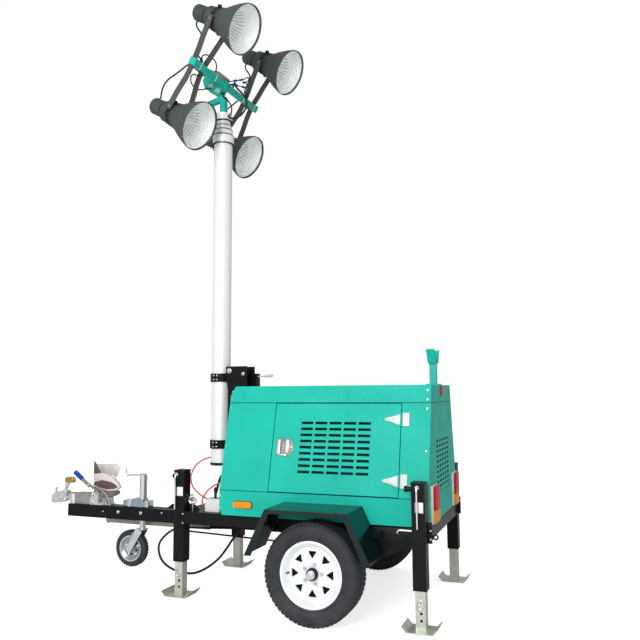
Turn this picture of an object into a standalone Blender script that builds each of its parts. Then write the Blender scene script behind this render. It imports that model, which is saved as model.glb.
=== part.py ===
"""Mobile light tower: a single-axle trailer with a canopy, a tilting telescopic mast and four floodlights.

Metres, +Z up, -X is the towing direction, -Y is the left side of the trailer.
Places along X are measured from the wheel axle; the empty "trailer" stands at the axle.
"""
import bmesh
import bpy
from math import atan2, cos, pi, radians, sin
from mathutils import Matrix, Vector

# Overall places
AXLE_X = 0.92
SEAT_GAP = 0.0003
SIDES = (("left", -1), ("right", 1))
FACETS = 32

# Wheels and axle
TYRE_RADIUS = 0.300
TYRE_WIDTH = 0.175
RIM_RADIUS = 0.195
WHEEL_Y = 0.683
AXLE_Z = TYRE_RADIUS
AXLE_SECTION = 0.050
HUB_RADIUS = 0.045
SPINDLE_RADIUS = 0.020
RIM_WINDOWS = 8
SPRING_SPAN = 0.60
SPRING_THICKNESS = 0.018
SPRING_WIDTH = 0.045

# Chassis
RAIL_INSET = 0.054
RAIL_WIDTH = 0.050
RAIL_HEIGHT = 0.080
RAIL_TOP = 0.560
RAIL_BOTTOM = RAIL_TOP - RAIL_HEIGHT
DECK_THICKNESS = 0.006
DECK_DROP = 0.002
CROSS_MEMBER_X = (-0.70, -0.30, 0.30)
CROSS_MEMBER_WIDTH = 0.050
CROSS_MEMBER_INSET = 0.004
OUTRIGGER_SECTION = 0.060

# Drawbar and brake rod
DRAWBAR_TIP_X = -2.370
DRAWBAR_REAR_X = 0.10
DRAWBAR_WIDTH = 0.100
DRAWBAR_HEIGHT = 0.095
DRAWBAR_TOP = RAIL_BOTTOM + CROSS_MEMBER_INSET - SEAT_GAP
BRAKE_ROD_SETBACK = 0.350
BRAKE_ROD_FRONT_X = DRAWBAR_TIP_X + BRAKE_ROD_SETBACK
BRAKE_ROD_REAR_X = -0.10
BRAKE_ROD_Y = 0.063
BRAKE_ROD_WIDTH = 0.028
BRAKE_ROD_HEIGHT = 0.036

# Support legs: outer tube, inner tube and folded foot
LEG_OUTER = 0.080
LEG_INNER = 0.060
LEG_WALL = 0.005
LEG_TOP = 0.835
LEG_BOTTOM = 0.225
LEG_INNER_TOP = 0.560
LEG_GUIDE_HEIGHT = 0.040
LEG_FRONT_X = -1.080
LEG_FRONT_INSET = 0.020
LEG_REAR_X = 0.610
LEG_CANOPY_CLEARANCE = 0.026
FOOT_LENGTH = 0.210
FOOT_WIDTH = 0.160
FOOT_RISE = 0.032
FOOT_THICKNESS = 0.006
JACK_HEAD_HEIGHT = 0.022
CRANK_BOSS_RADIUS = 0.014
CRANK_BOSS_LENGTH = 0.035

# Canopy
CANOPY_FRONT_X = -0.750
CANOPY_REAR_X = 0.650
CANOPY_BASE = RAIL_TOP + SEAT_GAP
CANOPY_KNEE = 0.722
CANOPY_EAVES = 1.292
ROOF_RISE = 0.112
CANOPY_TOP = CANOPY_EAVES + ROOF_RISE
CANOPY_HALF_BASE = 0.494
CANOPY_HALF_EAVES = 0.350
CANOPY_HALF_TOP = 0.328
RAIL_Y = CANOPY_HALF_BASE - RAIL_INSET
LEG_FRONT_Y = RAIL_Y - LEG_FRONT_INSET
LEG_REAR_Y = CANOPY_HALF_BASE + LEG_CANOPY_CLEARANCE + LEG_OUTER / 2
WALL = 0.020
ROOF_CHAMFER_X = 0.033
ROOF_CHAMFER_Z = 0.062
SILL_CHAMFER_X = 0.020
SILL_CHAMFER_Z = 0.042

# Doors with louvre slots
DOOR_FRONT_X = -0.400
DOOR_REAR_X = 0.468
DOOR_GAP = 0.005
SLOT_LENGTH = 0.083
SLOT_OPEN_SHARE = 0.44156
SLOT_PITCH_X = 0.098
SLOT_COLUMNS = 5
SLOT_ROWS = 9
SLOT_FRONT_X = -0.204
SLOT_BOTTOM_MARGIN = 0.123
SLOT_TOP_MARGIN = 0.122
SLOT_BOTTOM_Z = CANOPY_KNEE + SLOT_BOTTOM_MARGIN
SLOT_TOP_Z = CANOPY_EAVES - SLOT_TOP_MARGIN
SLOT_PITCH_Z = (SLOT_TOP_Z - SLOT_BOTTOM_Z) / (SLOT_ROWS - 1 + SLOT_OPEN_SHARE)
SLOT_HEIGHT = SLOT_PITCH_Z * SLOT_OPEN_SHARE
HINGE_MARGIN_LOW = 0.098
HINGE_MARGIN_HIGH = 0.104
HINGE_HEIGHTS = (CANOPY_KNEE + HINGE_MARGIN_LOW, CANOPY_EAVES - HINGE_MARGIN_HIGH)
HINGE_PIN_RADIUS = 0.006
HINGE_LEAF_LENGTH = 0.050
HINGE_LEAF_HEIGHT = 0.085
HINGE_LEAF_THICKNESS = 0.004
STRAP_LENGTH = 0.100
KNUCKLE_SHARE = 0.18
KNUCKLE_GAP = 0.006

# Rear grille
GRILLE_COLUMNS = 5
GRILLE_ROWS = 10
GRILLE_SLOT_WIDTH = 0.062
GRILLE_SLOT_HEIGHT = 0.016
GRILLE_PITCH_Y = 0.088
GRILLE_PITCH_Z = 0.032
GRILLE_BOTTOM_Z = 0.748

# Generating set inside
GENSET_LENGTH = 0.90
GENSET_WIDTH = 0.46
GENSET_HEIGHT = 0.48

# Fenders
FENDER_CENTRE_X = -0.020
FENDER_TOP_HALF = 0.260
FENDER_BASE_HALF = 0.395
FENDER_TOP_Z = 0.667
FENDER_BASE_Z = 0.390
FENDER_OUTER_Y = 0.795
FENDER_SHEET = 0.004
FENDER_LIP = 0.020
FENDER_SLOPE_FLANGE = 0.045
FENDER_ARM_HEIGHT = 0.040

# Mast
MAST_X = -1.015
MAST_TOP = 3.540
MAST_BOTTOM = 0.838
MAST_WALL = 0.005
MAST_NODES = ("mast_1", "mast_2", "mast_3", "mast_4")
MAST_TUBE_RADII = (0.0712, 0.0615, 0.0520, 0.0425)
MAST_COLLAR_RADII = (0.0830, 0.0730, 0.0640, 0.0700)
MAST_COLLAR_BOTTOMS = (MAST_TOP - 0.244, MAST_TOP - 0.1747, MAST_TOP - 0.1297, MAST_TOP - 0.0927)
MAST_COLLAR_TOPS = (MAST_TOP - 0.175, MAST_TOP - 0.130, MAST_TOP - 0.093, MAST_TOP)
MAST_SECTIONS = tuple(
    zip(MAST_NODES, MAST_TUBE_RADII, MAST_COLLAR_RADII, MAST_COLLAR_BOTTOMS, MAST_COLLAR_TOPS)
)
MAST_FLOOR_STEP = 0.012
MAST_CAP_HEIGHT = 0.055
MAST_CAP_BOTTOM = MAST_TOP - MAST_CAP_HEIGHT
MAST_NECK_RADIUS = 0.055
PIVOT_X = -0.905
MAST_ABOVE_ROOF = 0.120
PIVOT_Z = CANOPY_TOP + MAST_ABOVE_ROOF
PIVOT_PIN_RADIUS = 0.012
CLAMP_THICKNESS = 0.010
CLAMP_HEIGHT = 0.062
CLAMP_BELOW_PIVOT = 0.050
CLAMP_HEIGHTS = (0.982, PIVOT_Z - CLAMP_BELOW_PIVOT)
SPINE_WIDTH = 0.060
SPINE_DEPTH = 0.010
PIVOT_BLOCK_WIDTH = 0.110
PIVOT_BLOCK_RADIUS = 0.030
SUPPORT_PLATE_GAP = 0.122
SUPPORT_PLATE_THICKNESS = 0.010
SUPPORT_PLATE_BOTTOM = 0.95
SUPPORT_PLATE_FRONT_X = -0.937
SUPPORT_PLATE_REAR_X = -0.768
SUPPORT_PLATE_ABOVE_PIN = 0.032
SUPPORT_PLATE_TOP = PIVOT_Z + SUPPORT_PLATE_ABOVE_PIN
SUPPORT_POST_FRONT_X = -0.860
SUPPORT_POST_WIDTH = 0.112
SUPPORT_POST_TOP = 1.300
WINCH_LENGTH = 0.060
WINCH_HEIGHT = 0.100

# Mast cradle at the rear of the roof
CRADLE_X = 0.600
CRADLE_POST = 0.045
CRADLE_CLEARANCE = 0.006
CRADLE_HORN_Y = 0.088
CRADLE_HORN_RISE = 0.085
CRADLE_LENGTH = 0.055
CRADLE_SHEET = 0.008

# Lamp head: the bar, its yokes and four floodlights
HEAD_YAW = radians(3.0)
HEAD_TILT = radians(29.6)
HEAD_PIVOT_X = -1.055
HEAD_PIVOT_ABOVE_MAST = 0.197
HEAD_PIVOT_Z = MAST_TOP + HEAD_PIVOT_ABOVE_MAST
HEAD_POST_SECTION = 0.060
HEAD_POST_LENGTH = 0.160
HEAD_POST_TOP = MAST_TOP + HEAD_POST_LENGTH
HEAD_CHEEK_SPACING = 0.050
HEAD_CHEEK_THICKNESS = 0.007
BAR_SECTION = 0.050
BAR_LENGTH = 0.947
BAR_FORWARD = 0.0154
BAR_RISE = 0.064
HEAD_PLATE_THICKNESS = 0.010
ARM_WIDTH = 0.040
ARM_THICKNESS = 0.008
ARM_SPREAD = 0.108
ARM_OVERRUN = 0.022
LAMP_SPACING_Y = 0.3665
LAMP_RISE = 0.3588
LAMP_DROP = 0.4023
LAMP_BOLT_RADIUS = 0.008
LENS_RADIUS = 0.1775
LENS_FORWARD = 0.297
LAMP_REAR = 0.178
LENS_THICKNESS = 0.008
LAMP_WALL = 0.004
LAMP_NECK_RADIUS = 0.062

# Trim carried by the trailer
TAIL_LIGHT_INSET = 0.129
TAIL_LIGHT_Y = CANOPY_HALF_BASE - TAIL_LIGHT_INSET
TAIL_LIGHT_WIDTH = 0.150
TAIL_LIGHT_HEIGHT = 0.225
TAIL_LIGHT_DEPTH = 0.032
TAIL_LIGHT_BOTTOM = 0.570
COMPRESSOR_FRONT_X = -0.905
COMPRESSOR_INSET = 0.075
COMPRESSOR_Y = -(RAIL_Y - COMPRESSOR_INSET)
COMPRESSOR_LENGTH = 0.110
COMPRESSOR_WIDTH = 0.090
COMPRESSOR_HEIGHT = 0.085

# Jockey wheel
JOCKEY_SETBACK = 0.678
JOCKEY_X = DRAWBAR_TIP_X + JOCKEY_SETBACK
JOCKEY_TUBE_RADIUS = 0.029
JOCKEY_POST_RADIUS = 0.0245
JOCKEY_TUBE_TOP = 0.730
JOCKEY_TUBE_BOTTOM = 0.440
JOCKEY_TRAIL = 0.091
JOCKEY_WHEEL_RADIUS = 0.139
JOCKEY_WHEEL_WIDTH = 0.056
JOCKEY_AXLE_RADIUS = 0.008
JOCKEY_BORE = JOCKEY_AXLE_RADIUS + 0.0006
JOCKEY_WHEEL_Z = 0.170
JOCKEY_FORK_SHEET = 0.005
JOCKEY_FORK_CROWN = 0.320
JOCKEY_CLAMP_FRONT = 0.175
JOCKEY_CLAMP_REAR = 0.080
JOCKEY_CLAMP_WIDTH = 0.090
JOCKEY_CLAMP_HEIGHT = 0.068
JOCKEY_CLEARANCE = 0.0007
JOCKEY_CRANK_LENGTH = 0.150

# Overrun coupling, hand brake and wheel chock
COUPLING_OVERHANG = 0.185
COUPLING_LENGTH = 0.510
COUPLING_TIP_X = DRAWBAR_TIP_X - COUPLING_OVERHANG
COUPLING_REAR_X = COUPLING_TIP_X + COUPLING_LENGTH
COUPLING_TUBE_RADIUS = 0.034
COUPLING_FLANGE_SETBACK = 0.200
COUPLING_FLANGE_X = DRAWBAR_TIP_X + COUPLING_FLANGE_SETBACK
COUPLING_WIDTH = 0.078
BRAKE_PIVOT_INSET = 0.015
BRAKE_PIVOT_X = COUPLING_REAR_X - BRAKE_PIVOT_INSET
BRAKE_PIVOT_Z = 0.520
BRAKE_LEVER_Y = -0.053
BRAKE_LEVER_RADIUS = 0.008
BRAKE_GRIP_RADIUS = 0.015
BRAKE_KNEE_REACH = 0.095
BRAKE_KNEE_RISE = 0.100
BRAKE_GRIP_REACH = 0.294
BRAKE_GRIP_RISE = 0.206
BRAKE_GRIP_START = 0.477
BRAKE_GRIP_OVERLAP = 0.030
COUPLING_HANDLE_REACH = 0.200
COUPLING_HANDLE_RISE = 0.150
CHOCK_SETBACK = 0.205
CHOCK_FRONT_X = DRAWBAR_TIP_X + CHOCK_SETBACK
CHOCK_LENGTH = 0.245
CHOCK_BOTTOM = 0.640
CHOCK_HEIGHT = 0.170
CHOCK_WIDTH = 0.150
CHOCK_Y = 0.075
CHOCK_SHEET = 0.005
CHOCK_POST = 0.030


def clear_scene():
    for obj in list(bpy.data.objects):
        bpy.data.objects.remove(obj)


def new_collection(name):
    collection = bpy.data.collections.new(name)
    bpy.context.scene.collection.children.link(collection)
    return collection


def new_material(name, colour, roughness, metallic=0.0):
    material = bpy.data.materials.new(name)
    material.use_nodes = True
    shader = material.node_tree.nodes["Principled BSDF"]
    shader.inputs["Base Color"].default_value = (*colour, 1.0)
    shader.inputs["Roughness"].default_value = roughness
    shader.inputs["Metallic"].default_value = metallic
    return material


def new_empty(name, location, parent=None, rotation=(0.0, 0.0, 0.0)):
    empty = bpy.data.objects.new(name, None)
    empty.location = location
    empty.rotation_euler = rotation
    empty.parent = parent
    PARTS.objects.link(empty)
    return empty


def new_part(name, mesh, material_name, parent=None, location=(0, 0, 0), rotation=(0, 0, 0)):
    """Adds a mesh to the model as a named node."""
    obj = bpy.data.objects.new(name, mesh)
    PARTS.objects.link(obj)
    obj.parent = parent or TRAILER
    obj.location = location
    obj.rotation_euler = rotation
    colour, roughness, metallic = FINISHES[material_name]
    mesh.materials.clear()
    mesh.materials.append(new_material(name, colour, roughness, metallic))
    return obj


def apply_tool(obj, mesh, operation):
    """Joins a closed mesh to a node, or cuts it away, in the node's own frame."""
    tool = bpy.data.objects.new(f"{obj.name}_{operation.lower()}", mesh)
    CUTTERS.objects.link(tool)
    tool.parent = obj
    tool.hide_render = True
    tool.display_type = "WIRE"
    modifier = obj.modifiers.new(operation.title(), "BOOLEAN")
    modifier.operation = operation
    modifier.solver = "EXACT"
    modifier.object = tool


def join(obj, *meshes):
    for mesh in meshes:
        apply_tool(obj, mesh, "UNION")


def cut(obj, *meshes):
    for mesh in meshes:
        apply_tool(obj, mesh, "DIFFERENCE")


def mesh_from(bm, name):
    mesh = bpy.data.meshes.new(name)
    bm.to_mesh(mesh)
    bm.free()
    return mesh


def add_box(bm, low, high):
    low = Vector(low)
    high = Vector(high)
    size = high - low
    matrix = Matrix.Translation((low + high) / 2) @ Matrix.Diagonal((*size, 1.0))
    bmesh.ops.create_cube(bm, size=1.0, matrix=matrix)


def box(low, high):
    """A block between two opposite corners."""
    bm = bmesh.new()
    add_box(bm, low, high)
    return mesh_from(bm, "block")


def boxes(corners):
    """Separate blocks in one mesh, for a row of cuts."""
    bm = bmesh.new()
    for low, high in corners:
        add_box(bm, low, high)
    return mesh_from(bm, "blocks")


def turned_axis(axis):
    """The turn that takes +Z to the named axis."""
    turns = {
        "Z": Matrix.Identity(4),
        "X": Matrix.Rotation(pi / 2, 4, "Y"),
        "Y": Matrix.Rotation(-pi / 2, 4, "X"),
        "-Y": Matrix.Rotation(pi / 2, 4, "X"),
    }
    return turns[axis]


def rod(centre, radius, length, axis="Z", facets=16):
    """A cylinder about its centre, along the named axis."""
    bm = bmesh.new()
    matrix = Matrix.Translation(centre) @ turned_axis(axis)
    bmesh.ops.create_cone(
        bm, cap_ends=True, segments=facets, radius1=radius, radius2=radius, depth=length, matrix=matrix
    )
    return mesh_from(bm, "rod")


def rod_between(start, end, radius, facets=12):
    """A cylinder from one point to another."""
    start = Vector(start)
    end = Vector(end)
    turn = (end - start).to_track_quat("Z", "Y").to_matrix().to_4x4()
    bm = bmesh.new()
    matrix = Matrix.Translation((start + end) / 2) @ turn
    depth = (end - start).length
    bmesh.ops.create_cone(
        bm, cap_ends=True, segments=facets, radius1=radius, radius2=radius, depth=depth, matrix=matrix
    )
    return mesh_from(bm, "rod")


def baked(obj):
    """The evaluated mesh of a helper object, welded, with its place applied."""
    scene_collection = bpy.context.scene.collection
    scene_collection.objects.link(obj)
    bpy.context.view_layer.update()
    evaluated = obj.evaluated_get(bpy.context.evaluated_depsgraph_get())
    mesh = bpy.data.meshes.new_from_object(evaluated)
    mesh.transform(obj.matrix_world)
    bm = bmesh.new()
    bm.from_mesh(mesh)
    bmesh.ops.remove_doubles(bm, verts=bm.verts, dist=0.00002)
    bmesh.ops.recalc_face_normals(bm, faces=bm.faces)
    bm.to_mesh(mesh)
    bm.free()
    bpy.data.objects.remove(obj)
    return mesh


def prism(outline, low, high, plane):
    """A flat outline with a thickness.

    plane "XZ": points are (x, z) and the thickness runs along Y from low to high.
    plane "YZ": points are (y, z) and the thickness runs along X.
    plane "XY": points are (x, y) and the thickness runs along Z.
    """
    curve = bpy.data.curves.new("outline", "CURVE")
    curve.dimensions = "2D"
    curve.fill_mode = "BOTH"
    curve.extrude = (high - low) / 2
    spline = curve.splines.new("POLY")
    spline.points.add(len(outline) - 1)
    for point, (u, v) in zip(spline.points, outline):
        point.co = (u, v, 0.0, 1.0)
    spline.use_cyclic_u = True
    obj = bpy.data.objects.new("outline", curve)
    middle = (low + high) / 2
    frames = {
        "XY": Matrix(((1, 0, 0, 0), (0, 1, 0, 0), (0, 0, 1, middle), (0, 0, 0, 1))),
        "XZ": Matrix(((1, 0, 0, 0), (0, 0, -1, middle), (0, 1, 0, 0), (0, 0, 0, 1))),
        "YZ": Matrix(((0, 0, 1, middle), (1, 0, 0, 0), (0, 1, 0, 0), (0, 0, 0, 1))),
    }
    obj.matrix_world = frames[plane]
    return baked(obj)


def turned(profile, axis="Z", centre=(0, 0, 0), facets=FACETS, closed=False):
    """A turned shape from (radius, height) points that run down its outer side."""
    mesh = bpy.data.meshes.new("profile")
    vertices = [(radius, 0.0, height) for radius, height in profile]
    edges = [(index, index + 1) for index in range(len(profile) - 1)]
    if closed:
        edges.append((len(profile) - 1, 0))
    mesh.from_pydata(vertices, edges, [])
    obj = bpy.data.objects.new("profile", mesh)
    screw = obj.modifiers.new("Turn", "SCREW")
    screw.axis = "Z"
    screw.angle = 2 * pi
    screw.steps = facets
    screw.render_steps = facets
    screw.use_merge_vertices = True
    screw.merge_threshold = 0.0001
    obj.matrix_world = Matrix.Translation(centre) @ turned_axis(axis)
    return baked(obj)


def tube_along(points, radius, facets=8):
    """A round bar or wire through hand-placed points, as a mesh."""
    curve = bpy.data.curves.new("wire", "CURVE")
    curve.dimensions = "3D"
    curve.bevel_depth = radius
    curve.bevel_resolution = facets // 4
    curve.use_fill_caps = True
    spline = curve.splines.new("POLY")
    spline.points.add(len(points) - 1)
    for point, place in zip(spline.points, points):
        point.co = (*place, 1.0)
    return baked(bpy.data.objects.new("wire", curve))


def smooth(obj, angle=radians(35)):
    """Smooth shading with sharp edges kept, on the node's own mesh."""
    obj.data.shade_smooth()
    obj.data.set_sharp_from_angle(angle=angle)


def slot_rows(columns, rows, start_u, start_v, pitch_u, pitch_v, width, height):
    """Lower corners and upper corners of a rectangular pattern, in its own plane."""
    cells = []
    for column in range(columns):
        for row in range(rows):
            u = start_u + column * pitch_u
            v = start_v + row * pitch_v
            cells.append((u, v, u + width, v + height))
    return cells


def side_half_width(z):
    """Outer half width of the canopy at a height."""
    if z <= CANOPY_KNEE:
        return CANOPY_HALF_BASE
    lean = (CANOPY_HALF_EAVES - CANOPY_HALF_BASE) / (CANOPY_EAVES - CANOPY_KNEE)
    return CANOPY_HALF_BASE + lean * (z - CANOPY_KNEE)


def mirrored(outline, side):
    return [(side * u, v) for u, v in outline]


def build_chassis():
    leg_inner_y = LEG_FRONT_Y - LEG_OUTER / 2 - SEAT_GAP
    rail_front = LEG_FRONT_X + LEG_OUTER / 2 + SEAT_GAP
    rail_low = RAIL_Y - RAIL_WIDTH / 2
    rail_high = RAIL_Y + RAIL_WIDTH / 2
    rear_low = LEG_REAR_X - LEG_OUTER / 2
    rear_high = LEG_REAR_X + LEG_OUTER / 2
    frame = new_part(
        "chassis_frame",
        box((rail_front, -rail_high, RAIL_BOTTOM), (rear_low + 0.02, -rail_low, RAIL_TOP)),
        "black_frame",
    )
    join(frame, box((rail_front, rail_low, RAIL_BOTTOM), (rear_low + 0.02, rail_high, RAIL_TOP)))
    for x in CROSS_MEMBER_X + (rail_front + CROSS_MEMBER_WIDTH / 2 + 0.002,):
        low = (x - CROSS_MEMBER_WIDTH / 2, -RAIL_Y, RAIL_BOTTOM + CROSS_MEMBER_INSET)
        high = (x + CROSS_MEMBER_WIDTH / 2, RAIL_Y, RAIL_TOP - CROSS_MEMBER_INSET)
        join(frame, box(low, high))
    rear_y = LEG_REAR_Y - LEG_OUTER / 2 - SEAT_GAP
    join(frame, box((rear_low, -rear_y, RAIL_BOTTOM - 0.001), (rear_high, rear_y, RAIL_TOP - 0.001)))
    outrigger_low = LEG_FRONT_X - OUTRIGGER_SECTION / 2
    outrigger_high = rail_front + CROSS_MEMBER_WIDTH / 2
    outrigger_bottom = RAIL_BOTTOM + 0.010
    join(
        frame,
        box(
            (outrigger_low, -leg_inner_y, outrigger_bottom),
            (outrigger_high, leg_inner_y, outrigger_bottom + OUTRIGGER_SECTION),
        ),
    )
    deck_top = RAIL_TOP - DECK_DROP
    join(
        frame,
        box((rail_front + 0.010, -RAIL_Y, deck_top - DECK_THICKNESS), (rear_low + 0.010, RAIL_Y, deck_top)),
    )
    spring_half = SPRING_SPAN / 2
    spring_top = spring_height(spring_half) + SPRING_THICKNESS
    for _, side in SIDES:
        for x in (-spring_half, spring_half):
            low = (x - 0.020, side * RAIL_Y - SPRING_WIDTH / 2, spring_top + SEAT_GAP)
            high = (x + 0.020, side * RAIL_Y + SPRING_WIDTH / 2, RAIL_BOTTOM + 0.010)
            join(frame, box(low, high))


def spring_height(x):
    """Underside of the leaf spring at a distance from the axle."""
    saddle = AXLE_Z + AXLE_SECTION / 2 - 0.002
    rise = 0.105
    return saddle + rise * (x / (SPRING_SPAN / 2)) ** 2


def build_axle():
    spindle_end = WHEEL_Y - HUB_INBOARD - SEAT_GAP
    half = AXLE_SECTION / 2
    axle = new_part(
        "axle_beam",
        box((-half, -spindle_end + 0.04, AXLE_Z - half), (half, spindle_end - 0.04, AXLE_Z + half)),
        "black_frame",
    )
    join(axle, rod((0, 0, AXLE_Z), SPINDLE_RADIUS, 2 * spindle_end, "Y"))
    stations = [SPRING_SPAN / 2 * step / 4 for step in range(-4, 5)]
    lower = [(x, spring_height(x)) for x in stations]
    upper = [(x, spring_height(x) + SPRING_THICKNESS) for x in reversed(stations)]
    for _, side in SIDES:
        middle = side * RAIL_Y
        join(axle, prism(lower + upper, middle - SPRING_WIDTH / 2, middle + SPRING_WIDTH / 2, "XZ"))


HUB_INBOARD = 0.030


def build_wheels():
    half = TYRE_WIDTH / 2
    lip = half - 0.0125
    rim_profile = [
        (0.0, 0.088),
        (0.024, 0.088),
        (0.024, 0.062),
        (0.034, 0.062),
        (0.034, 0.038),
        (0.105, 0.044),
        (0.148, 0.038),
        (0.163, 0.052),
        (0.184, lip),
        (RIM_RADIUS, lip),
        (RIM_RADIUS, lip - 0.007),
        (0.178, 0.062),
        (0.172, 0.045),
        (0.160, 0.0),
        (0.172, -0.045),
        (0.178, -0.062),
        (RIM_RADIUS, 0.007 - lip),
        (RIM_RADIUS, -lip),
        (0.184, -lip),
        (0.164, -0.048),
        (0.152, 0.0),
        (0.155, 0.026),
        (0.105, 0.034),
        (HUB_RADIUS, 0.028),
        (HUB_RADIUS, -HUB_INBOARD),
        (0.0, -HUB_INBOARD),
    ]
    seat = 0.0003
    tyre_profile = [
        (TYRE_RADIUS, 0.058),
        (TYRE_RADIUS, -0.058),
        (0.291, -0.076),
        (0.262, -half),
        (0.222, -half + 0.003),
        (0.1985, -lip),
        (RIM_RADIUS + seat, 0.007 - lip + seat),
        (0.178 + seat, -0.062 + seat),
        (0.172 + seat, -0.045),
        (0.160 + seat, 0.0),
        (0.172 + seat, 0.045),
        (0.178 + seat, 0.062 - seat),
        (RIM_RADIUS + seat, lip - 0.007 - seat),
        (0.1985, lip),
        (0.222, half - 0.003),
        (0.262, half),
        (0.291, 0.076),
    ]
    for label, side in SIDES:
        pivot = new_empty(f"wheel_{label}_axis", (0, side * WHEEL_Y, AXLE_Z), TRAILER)
        axis = "Y" if side > 0 else "-Y"
        rim = new_part(f"wheel_rim_{label}", turned(rim_profile, axis), "white_rim", pivot)
        for index in range(RIM_WINDOWS):
            cut(rim, rim_window(2 * pi * index / RIM_WINDOWS))
        tyre = new_part(f"tyre_{label}", turned(tyre_profile, axis, closed=True), "tyre", pivot)
        smooth(tyre)


def rim_window(angle):
    """A wedge that cuts one triangular window through the wheel disc."""
    inner = 0.088
    outer = 0.132
    half_angle = radians(11)
    points = (
        (inner, 0.0),
        (outer, half_angle),
        (outer, -half_angle),
    )
    outline = [(r * sin(angle + turn), r * cos(angle + turn)) for r, turn in points]
    return prism(outline, -0.060, 0.060, "XZ")


def build_fenders():
    def strip(inset):
        top = FENDER_TOP_HALF - inset * 0.6
        base = FENDER_BASE_HALF - inset
        return [
            (FENDER_CENTRE_X - base, FENDER_BASE_Z),
            (FENDER_CENTRE_X - top, FENDER_TOP_Z - inset * 0.55),
            (FENDER_CENTRE_X + top, FENDER_TOP_Z - inset * 0.55),
            (FENDER_CENTRE_X + base, FENDER_BASE_Z),
        ]

    outer = strip(0.0)
    inner = strip(FENDER_SHEET * 1.6)
    flange_inner = strip(FENDER_SLOPE_FLANGE)
    inner_y = CANOPY_HALF_BASE + 0.0013
    for label, side in SIDES:
        low, high = sorted((side * inner_y, side * FENDER_OUTER_Y))
        fender = new_part(
            f"fender_{label}", prism(outer + inner[::-1], low, high, "XZ"), "black_frame"
        )
        low, high = sorted((side * (FENDER_OUTER_Y - FENDER_SHEET), side * (FENDER_OUTER_Y - 0.0005)))
        join(fender, prism(outer + flange_inner[::-1], low, high, "XZ"))
        for x in (outer[0][0], outer[3][0]):
            reach = 0.055 if x < 0 else -0.055
            start, end = sorted((x + reach * 0.25, x + reach * 1.5))
            low, high = sorted((side * (RAIL_Y + RAIL_WIDTH / 2 + SEAT_GAP), side * (inner_y + 0.030)))
            arm_bottom = RAIL_BOTTOM + 0.010
            join(fender, box((start, low, arm_bottom), (end, high, arm_bottom + FENDER_ARM_HEIGHT)))


def build_leg(label, x, y, facing):
    half = LEG_OUTER / 2
    hollow = half - LEG_WALL
    outer = new_part(
        f"leg_outer_{label}",
        box((-half, -half, LEG_BOTTOM), (half, half, LEG_TOP)),
        "black_frame",
        location=(x, y, 0),
    )
    cut(outer, box((-hollow, -hollow, LEG_BOTTOM - 0.01), (hollow, hollow, LEG_TOP - JACK_HEAD_HEIGHT)))
    boss_x = facing * (half + CRANK_BOSS_LENGTH / 2 - 0.002)
    join(outer, rod((boss_x, 0, LEG_TOP - 0.045), CRANK_BOSS_RADIUS, CRANK_BOSS_LENGTH, "X", 12))
    slide = new_empty(f"leg_{label}_slide", (x, y, 0), TRAILER)
    run = FOOT_LENGTH / 2
    flat = run - 0.030
    sheet = FOOT_THICKNESS
    foot = [(-run, FOOT_RISE), (-flat, 0), (flat, 0), (run, FOOT_RISE)]
    foot += [(run - 0.003, FOOT_RISE + 0.005), (flat - 0.002, sheet)]
    foot += [(0.002 - flat, sheet), (0.003 - run, FOOT_RISE + 0.005)]
    half_inner = LEG_INNER / 2
    inner = new_part(
        f"leg_inner_{label}",
        prism(foot, -FOOT_WIDTH / 2, FOOT_WIDTH / 2, "XZ"),
        "bare_steel",
        slide,
    )
    join(inner, box((-half_inner, -half_inner, sheet * 0.5), (half_inner, half_inner, LEG_INNER_TOP)))
    guide = hollow - SEAT_GAP
    guide_bottom = LEG_INNER_TOP - LEG_GUIDE_HEIGHT
    join(inner, box((-guide, -guide, guide_bottom), (guide, guide, LEG_INNER_TOP - 0.002)))


def build_legs():
    for label, x, y, facing in (
        # name, distance from the axle, side offset, crank boss direction
        ("front_left", LEG_FRONT_X, -LEG_FRONT_Y, -1),
        ("front_right", LEG_FRONT_X, LEG_FRONT_Y, -1),
        ("rear_left", LEG_REAR_X, -LEG_REAR_Y, -1),
        ("rear_right", LEG_REAR_X, LEG_REAR_Y, -1),
    ):
        build_leg(label, x, y, facing)


def build_canopy_sides():
    outline = [
        (CANOPY_HALF_BASE, CANOPY_BASE),
        (CANOPY_HALF_BASE, CANOPY_KNEE),
        (CANOPY_HALF_EAVES, CANOPY_EAVES - SEAT_GAP),
        (CANOPY_HALF_EAVES - WALL, CANOPY_EAVES - SEAT_GAP),
        (CANOPY_HALF_BASE - WALL, CANOPY_KNEE),
        (CANOPY_HALF_BASE - WALL, CANOPY_BASE),
    ]
    top = CANOPY_EAVES - SEAT_GAP + 0.01
    for label, side in SIDES:
        panel = new_part(
            f"canopy_{label}",
            prism(mirrored(outline, side), CANOPY_FRONT_X, CANOPY_REAR_X, "YZ"),
            "green_paint",
        )
        low, high = sorted((side * (CANOPY_HALF_EAVES - 0.1), side * (CANOPY_HALF_BASE + 0.05)))
        cut(panel, box((DOOR_FRONT_X, low, CANOPY_KNEE), (DOOR_REAR_X, high, top)))
        cut(panel, sill_chamfer_cutter())
        for height in HINGE_HEIGHTS:
            join(panel, hinge_plate(side, height, DOOR_REAR_X + 0.0005, HINGE_LEAF_LENGTH))
            for start, end in ((-0.5, -KNUCKLE_SHARE), (KNUCKLE_SHARE, 0.5)):
                join(panel, hinge_knuckle(side, height, start, end))
                pin_depth = hinge_axis_offset()
                leaf = HINGE_LEAF_THICKNESS * 0.5
                low_x = DOOR_REAR_X + 0.0012
                share = (start + 0.05, end - 0.05)
                join(panel, leaf_block(side, height, *share, low_x, low_x + 0.0045, leaf, pin_depth))


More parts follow.
